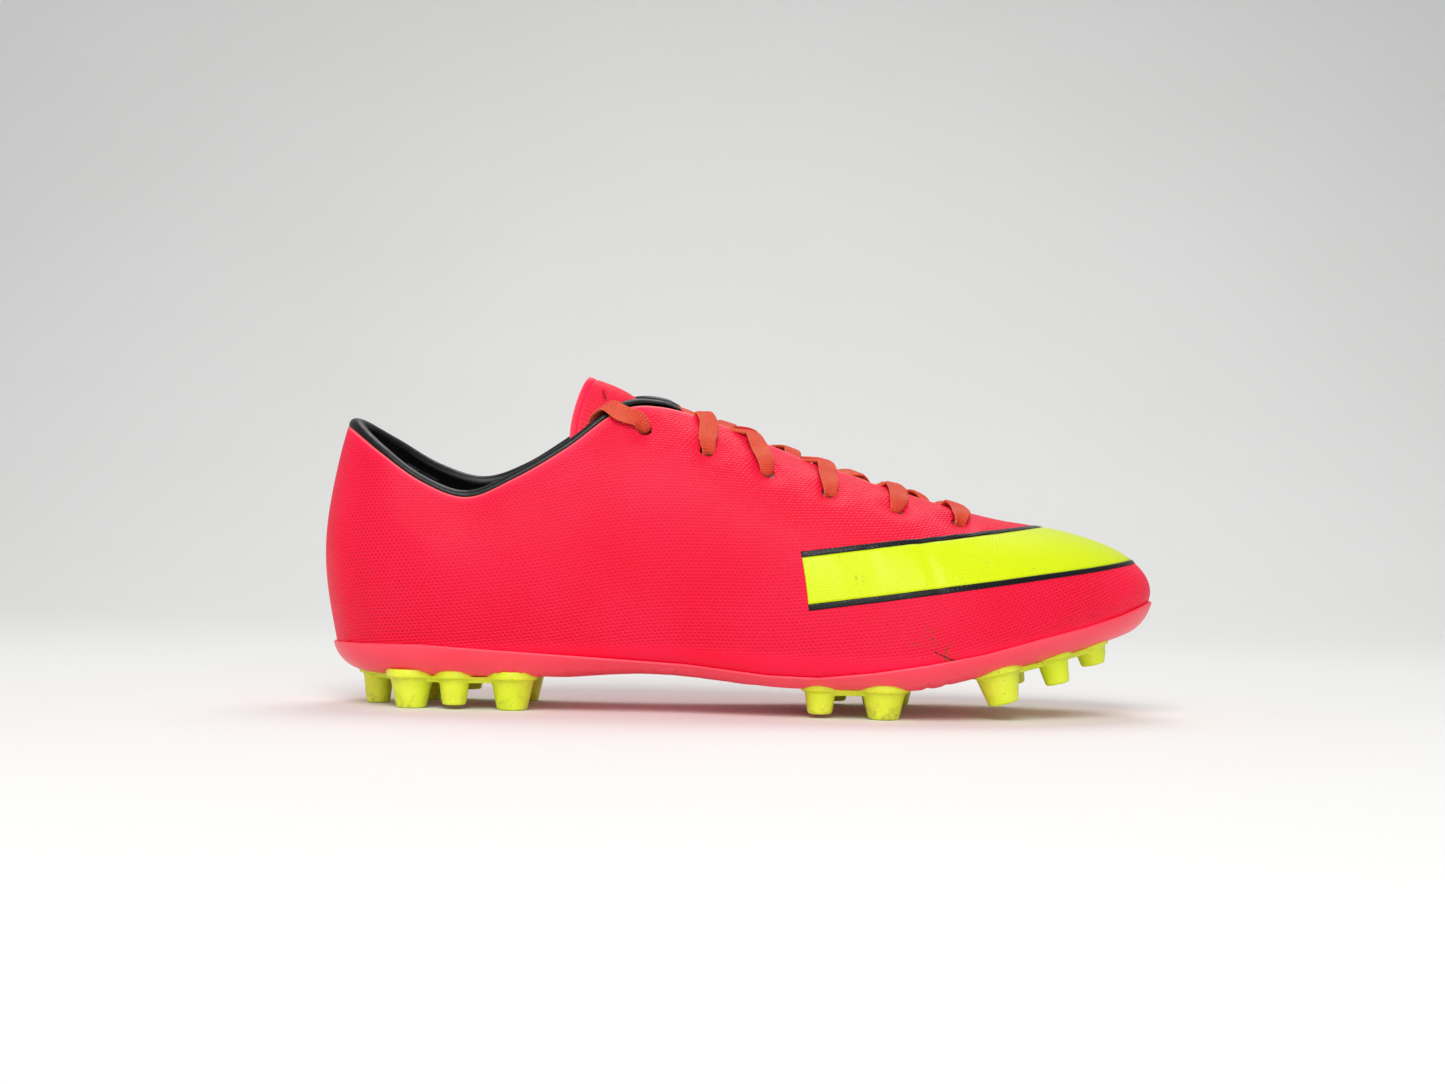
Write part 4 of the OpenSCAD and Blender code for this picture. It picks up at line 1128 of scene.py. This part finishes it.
def as_it_is(x, y, z):
    return z


def sole_relief(x, y, z):
    """The plate's moulded underside: arch ribs and flex grooves, cut up into its thickness."""
    arch = float(ease((x + 68) / 14) * (1 - ease((x - 2) / 14)))
    ribs = 0.7 * arch * max(0.0, math.cos((y - CENTRE_Y) / 2.1)) * float(ease((19 - abs(y - CENTRE_Y)) / 6))
    flex = float(ease((x - 59) / 3) * (1 - ease((x - 75) / 3)))
    groove = 0.55 * flex * max(0.0, math.sin((x - 59) * math.pi / 2.6)) ** 2
    keel = 0.9 * float(np.exp(-((abs(y - CENTRE_Y) - 21) / 2.2) ** 2)) * arch
    return z - ribs - keel + groove


def rand_ribs(x, k):
    """A row of short moulded ribs along the plate's side under the arch."""
    along = ease((x + 80) / 1.5) * (1 - ease((x + 14) / 1.5))
    tooth = ease((np.cos(x * 2 * math.pi / 3.4) - 0.1) / 0.5)
    return 0.4 * along * tooth * ease((k - 0.2) / 0.1) * ease((0.55 - k) / 0.1)


def make_plate():
    """The plate, from the edge of its underside up over the rand's lip and back down its inner face."""
    us = np.arange(0, RIB_COUNT, 1 / 36)
    top = rand_v(us)
    x = face_point(us, 0.05)[:, 0]
    notch = 0.5 * hump(x, 60, 1.1) + 0.35 * hump(x, 66, 1.1)
    along = unit(face_point(us, top + 0.01) - face_point(us, top))
    share = np.linspace(0, 1, 16)
    rows = []
    for k in share:
        low = (1 - k) ** 1.6
        off = PLATE_T * low + RAND_T * (1 - low) - notch * (1 - k)
        rows.append(shell_point(us, top * k, off + rand_ribs(x, k)))
    for off, up in RAND_LIP:
        rows.append(shell_point(us, top, off + 0 * us) + along * up)
    for k in share[::-1]:
        rows.append(shell_point(us, top * k, 0.15 + 0 * us))
    piece = capped_sides("cup_plate", np.stack(rows, 1), sole_relief, as_it_is, 40)
    dress(piece, PLATE, "shoe", "plate", "outsole_plate")


def floor_rings(outline):
    """Rings round the foot from [how far in from the foot's edge, height over the floor]."""
    us = np.arange(0, RIB_COUNT, 1 / 6)
    rings = []
    for inset, z in outline:
        points = rib_end(us, 0) - out_direction(us) * inset
        points[:, 2] = floor_z(points[:, 0]) + z
        rings.append(points)
    return np.stack(rings, 1)


def dish(x, y, z):
    """The sockliner's hollow for the foot."""
    reach = abs(y - CENTRE_Y - (2.5 if x > 20 else 0)) / (26 + 12 * float(ease((x + 20) / 60)))
    return z - 1.1 * max(0.0, 1 - reach ** 2)


def make_sockliner():
    body = floor_rings([(6.2, 2.65), (6.0, 3.4), (5.5, 5.2), (5.3, 6.0), (5.6, 6.2)])
    foam = capped_sides("sockliner_foam_body", body, as_it_is, lambda x, y, z: dish(x, y, z) - 0.02, 20)
    dress(foam, FOAM, "shoe", "foam", "sockliner_foam")
    top = floor_rings([(5.8, 6.28), (5.5, 6.4), (5.4, 6.6), (5.6, 6.8), (6.1, 6.85)])
    cover = capped_sides("sockliner_textile_top", top, lambda x, y, z: dish(x, y, z) + 0.02, dish, 30)
    dress(cover, SOCK, "shoe", "sock_fabric", "sockliner_cover")


make_plate()
make_sockliner()

# ------------ stud frames
STUD_SMALL = (3.9, 5.4)
STUD_LARGE = (4.9, 7.4)
TOE_STUD_H = 10.6
CELL = 0.5
# The rails have a wide low step and a narrow ridge.
RAIL_WIDE = 4.2
RAIL_NARROW = 3.0
PAD_MARGIN = 1.1
# Studs as [x, y, large, height of the tip], and pairs of studs joined by a rail.
HEEL_STUDS = [
    (-108, -17.5, True, 0), (-93.5, -21, False, 1.4), (-74.5, -20.5, True, 0),
    (-108, 19.5, True, 0), (-93.5, 22.5, False, 3.5), (-74.5, 22, True, 0), (-122, 1.5, False, 0),
]
HEEL_RAILS = [(0, 1), (1, 2), (3, 4), (4, 5), (6, 0), (6, 3), (2, 5)]
BALL_STUDS = [
    (26, -30, False, 1.3), (46.5, -31.5, True, 0),
    (34, 28.5, False, 1.3), (55, 31.5, True, 0), (46, 0.5, False, 2),
]
BALL_RAILS = [(0, 1), (2, 3), (1, 4), (4, 3)]
TOE_STUDS = [
    (26, -28, True, 0), (45.5, -21, False, 1.6), (60, -10, False, 4),
    (33, 31, True, 0), (51.5, 25, False, 1.6), (64, 10, False, 4), (34, 1.5, False, 2.5),
]
TOE_RAILS = [(0, 1), (1, 2), (3, 4), (4, 5), (2, 5), (0, 6), (6, 3)]


def blend_min(a, b, r):
    """Joins two distance fields with a fillet of about r."""
    h = np.clip(0.5 + 0.5 * (b - a) / r, 0, 1)
    return b * (1 - h) + a * h - r * h * (1 - h)


def blend_max(a, b, r):
    return -blend_min(-a, -b, r)


def frame_field(x, y, z, studs, rails, base):
    """Distance field of a stud frame: stepped rails, pads that climb the plate, and conical studs."""
    field = np.full(x.shape, 99.0)
    for a, b in rails:
        pa, pb = np.array(studs[a][:2], float), np.array(studs[b][:2], float)
        d = pb - pa
        t = np.clip(((x - pa[0]) * d[0] + (y - pa[1]) * d[1]) / (d @ d), 0, 1)
        off = np.hypot(x - pa[0] - d[0] * t, y - pa[1] - d[1] * t)
        wide = blend_max(off - RAIL_WIDE, np.abs(z - base + 0.45) - 0.5, 0.4)
        narrow = blend_max(off - RAIL_NARROW, np.abs(z - base + 1.1) - 1.0, 0.5)
        field = np.minimum(field, blend_min(wide, narrow, 0.3))
    for sx, sy, large, tip in studs:
        tip_r, base_r = STUD_LARGE if large else STUD_SMALL
        r = np.hypot(x - sx, y - sy)
        pad = blend_max(r - base_r - PAD_MARGIN, np.abs(z - base - 0.7) - 1.4, 0.5)
        height = base - tip
        slope = (base_r - 0.2 - tip_r) / height
        wall = (r - tip_r - slope * (z - tip)) / math.sqrt(1 + slope * slope)
        cone = blend_max(blend_max(wall, tip - z, 0.8), z - base, 0.4)
        field = blend_min(field, blend_min(pad, cone, 0.7), 0.5)
    return field


def surface_net(field, origin, cell):
    """A quad mesh where a field on a regular grid crosses zero, one point per cell that it crosses."""
    inside = field < 0
    corners = [(i, j, k) for i in (0, 1) for j in (0, 1) for k in (0, 1)]
    shape = tuple(s - 1 for s in field.shape)

    def part(array, c):
        return array[tuple(slice(c[a], c[a] + shape[a]) for a in range(3))]

    count = sum(part(inside, c).astype(np.int8) for c in corners)
    active = (count > 0) & (count < 8)
    total, hits = np.zeros(shape + (3,)), np.zeros(shape)
    for a in corners:
        for axis in range(3):
            if a[axis]:
                continue
            b = tuple(1 if k == axis else a[k] for k in range(3))
            fa, fb = part(field, a), part(field, b)
            cross = (fa < 0) != (fb < 0)
            t = np.where(cross, fa / np.where(cross, fa - fb, 1), 0)
            for k in range(3):
                total[..., k] += np.where(cross, a[k] + (t if k == axis else 0), 0)
            hits += cross
    ids = np.full(shape, -1)
    ids[active] = np.arange(active.sum())
    cells = np.argwhere(active)
    verts = origin + (cells + total[active] / hits[active][:, None]) * cell
    faces = []
    for axis in range(3):
        b, c = [k for k in range(3) if k != axis]
        low = tuple(slice(None, -1) if k == axis else slice(None) for k in range(3))
        high = tuple(slice(1, None) if k == axis else slice(None) for k in range(3))
        rising, falling = inside[low] & ~inside[high], ~inside[low] & inside[high]
        for edge, flip in ((rising, axis == 1), (falling, axis != 1)):
            at = np.argwhere(edge)
            at = at[(at[:, b] > 0) & (at[:, c] > 0) & (at[:, b] < shape[b]) & (at[:, c] < shape[c])]
            step_b, step_c = np.eye(3, dtype=int)[b], np.eye(3, dtype=int)[c]
            quad = [ids[tuple((at - o).T)] for o in (0 * step_b, step_b, step_b + step_c, step_c)]
            quad = np.stack(quad, 1)
            faces.append(quad[:, ::-1] if flip else quad)
    return verts, np.concatenate(faces).tolist()


def make_frame(name, studs, rails, base, node, place=np.copy):
    """One moulded stud frame, worked out on a grid and then put in its place."""
    points = np.array([s[:2] for s in studs], float)
    low = np.append(points.min(0) - 11, -1.2)
    high = np.append(points.max(0) + 11, base + 3.4)
    axes = [np.arange(low[k], high[k] + CELL, CELL) for k in range(3)]
    field = frame_field(*np.meshgrid(*axes, indexing="ij"), studs, rails, base)
    verts, faces = surface_net(field, low, CELL)
    dress(add_mesh(name, place(verts), faces), STUD, "shoe", "stud", node)


def toe_place(verts):
    """Turns the toe frame from its own flat layout up into the toe's rising plane."""
    tilt = math.atan(TOE_SLOPE)
    x, y, z = verts[:, 0], verts[:, 1], verts[:, 2] - TOE_STUD_H
    along = TOE_BEND_X + x * math.cos(tilt) - z * math.sin(tilt)
    return np.stack([along, y, BALL_FLOOR + x * math.sin(tilt) + z * math.cos(tilt)], 1)


make_frame("heel_studs", HEEL_STUDS, HEEL_RAILS, HEEL_FLOOR, "heel_stud_frame")
make_frame("ball_studs", BALL_STUDS, BALL_RAILS, BALL_FLOOR, "ball_stud_frame")
make_frame("toe_studs", TOE_STUDS, TOE_RAILS, TOE_STUD_H, "toe_stud_frame", toe_place)

# ------------ tongue
# Stations up the tongue: [centre x, y, z, half width, how far its sides fall back, how far they drop].
TONGUE_STATIONS = np.array([
    [96, 2.5, 56, 11, 0, 2], [80, 2.5, 60.2, 13, 0, 2.5], [64, 2.5, 65.3, 15, 0, 3.5],
    [46, 2.5, 71.5, 16, 0, 5], [28, 2.5, 77.8, 16.5, 1, 6.5], [8, 2, 85, 16.5, 3, 8],
    [-10, 1.5, 91.6, 16, 5, 10], [-26, 1.5, 97.5, 15, 7, 14],
    [-40, 1.5, 106.6, 14.3, 7.5, 21], [-52.3, 1.5, 111.2, 14.3, 7.7, 25],
])
FALL_POWER = 1.3
# A short slit near the free end on the lateral side, by its two ends in side view.
SLIT = (np.array([-46.5, 103.4]), np.array([-47.3, 106.3]))


def tongue_mid(s, w):
    """A point of the tongue's upper face: s runs from its root to its free end, w from side to side."""
    p = catmull(TONGUE_STATIONS, np.clip(s, 0, 1) * (len(TONGUE_STATIONS) - 1))
    x = p[..., 0] - p[..., 4] * np.abs(w) ** FALL_POWER
    return np.stack([x, p[..., 1] + p[..., 3] * w, p[..., 2] - p[..., 5] * w * w], -1)


def tongue_point(s, w, depth):
    s, w = np.broadcast_arrays(s, w)
    up = tongue_mid(np.minimum(s + 0.01, 1), w) - tongue_mid(np.maximum(s - 0.01, 0), w)
    across = tongue_mid(s, w + 0.02) - tongue_mid(s, w - 0.02)
    return tongue_mid(s, w) - unit(np.cross(across, up)) * np.asarray(depth)[..., None]


def tongue_grid(inset, rows=260, cols=72):
    """Shares up and across the tongue, with its free end's corners rounded off."""
    w = np.linspace(-1, 1, cols) * (1 - inset / 15)
    end = 1 - inset / 165 - 0.034 * np.abs(w) ** 7
    rise = np.linspace(0, 1, rows)
    return rise[:, None] * end[None, :], np.broadcast_to(w, (rows, cols))


def tongue_border(top):
    """How far each point lies from the tongue's free end and sides."""
    marks = (top[-1:], top[:, :1], top[:, -1:])
    return np.min([np.linalg.norm(top - mark, axis=-1) for mark in marks], 0)


def slit_share(top):
    """1 along the slit, 0 away from it."""
    flank = top[..., [0, 2]] - SLIT[0]
    d = SLIT[1] - SLIT[0]
    t = np.clip((flank @ d) / (d @ d), 0, 1)
    gap = np.linalg.norm(flank - t[..., None] * d, axis=-1) + 9 * (top[..., 1] > CENTRE_Y)
    return hump(gap, 0, 0.32)


def make_tongue():
    """The tongue's embossed face, with a sewn line round its border, and its knitted backing."""
    s, w = tongue_grid(0.0)
    top = tongue_point(s, w, 0 * s)
    border = tongue_border(top)
    seam = 0.22 * hump(border, 2.6, 0.32) - 0.12 * hump(border, 1.2, 0.9)
    slit = slit_share(top)
    wave = 0.12 * np.sin(top[..., 0] / 6) * np.cos(top[..., 1] / 5)
    face = tongue_point(s, w, seam + 0.7 * slit + wave)
    under = tongue_point(s, w, 1.0 + wave)[:, ::-1]
    run = arc_length(top[:, top.shape[1] // 2], 0)
    uv = strip_uv(run[:, None], there_and_back(np.linspace(-1, 1, top.shape[1]) * 17))
    zero = np.zeros(under.shape[:2])
    marks = {
        "emboss": np.concatenate([ease((border - 2.8) / 0.6), zero], 1),
        "edge": np.concatenate([hump(border, 0, 0.3), zero + 0.6], 1),
        # Painted shade: the slit is darkened, as a cut that lies in shadow.
        "dark": np.concatenate([slit, zero], 1),
    }
    skin_piece = loft("tongue_face_skin", np.concatenate([face, under], 1), False, uv, marks)
    dress(skin_piece, TONGUE, None, "upper", "tongue_face")

    s, w = tongue_grid(1.6)
    front = tongue_point(s, w, 1.06 + 0.12 * np.sin(s * 160 / 6))
    puff = 0.2 * np.sin(s * 40) * np.cos(w * 7)
    back = tongue_point(s, w, 2.55 + puff)[:, ::-1]
    lining = loft("tongue_backing_knit", np.concatenate([front, back], 1), False, uv)
    dress(lining, LINING, None, "lining", "tongue_backing")
    for cloth in (skin_piece, lining):
        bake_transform(cloth)


make_tongue()

# ------------ CAD nodes that stay, and the stage
KEPT = {
    "insole_board": BOARD, "heel_counter": SHEET, "toe_puff": SHEET,
    "eyestay_lateral": SHEET, "eyestay_medial": SHEET, "collar_foam": FOAM,
}
for node_name, material in KEPT.items():
    paint(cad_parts[node_name], material)

# The stage's section in metres: where the floor starts, where the backdrop stands and ends, and its curve.
FLOOR_FRONT = -3.0
BACKDROP_Y = 1.6
BACKDROP_TOP = 3.0
CURVE_R = 0.9
CURVE_STEPS = 12
STAGE_HALF = 4.0
LIGHT_AIM = (0, 0, 0.05)


def make_stage():
    """A pale floor that curves up into a backdrop."""
    shader = Shader("studio_floor", 0.85)
    tint = shader.mix(shader.noise(3.0, 2.0), linear(226, 225, 222), linear(232, 231, 229))
    line = [(FLOOR_FRONT, 0.0), (BACKDROP_Y - CURVE_R, 0.0)]
    for k in range(1, CURVE_STEPS + 1):
        a = math.pi / 2 * k / CURVE_STEPS
        line.append((BACKDROP_Y - CURVE_R * (1 - math.sin(a)), CURVE_R * (1 - math.cos(a))))
    line.append((BACKDROP_Y, BACKDROP_TOP))
    verts = [(x / MM, y / MM, z / MM) for y, z in line for x in (-STAGE_HALF, STAGE_HALF)]
    faces = [[2 * k, 2 * k + 1, 2 * k + 3, 2 * k + 2] for k in range(len(line) - 1)]
    floor = add_mesh("studio_floor", verts, faces)
    paint(floor, shader.finish(tint, None, shader.grain(220.0, 0.05, 3.0)))


def add_light(name, place, size, power):
    """A round soft light that looks at the shoe."""
    data = bpy.data.lights.new(name, "AREA")
    data.shape = "DISK"
    data.size = size
    data.energy = power
    light = add_object(name, data)
    light.location = place
    light.rotation_euler = (Vector(LIGHT_AIM) - Vector(place)).to_track_quat("-Z", "Y").to_euler()


def add_lights():
    world = bpy.data.worlds.new("soft_room")
    world.use_nodes = True
    background = world.node_tree.nodes["Background"]
    background.inputs[0].default_value = (0.93, 0.96, 1.0, 1.0)
    background.inputs[1].default_value = 0.42
    bpy.context.scene.world = world
    add_light("key", (-0.15, -1.1, 1.2), 1.0, 17)
    add_light("front_fill", (0.2, -1.5, 0.25), 1.2, 6)
    add_light("top_back", (0.1, 0.7, 1.3), 0.9, 8)


make_stage()
add_lights()
bpy.context.scene.view_settings.view_transform = "Standard"
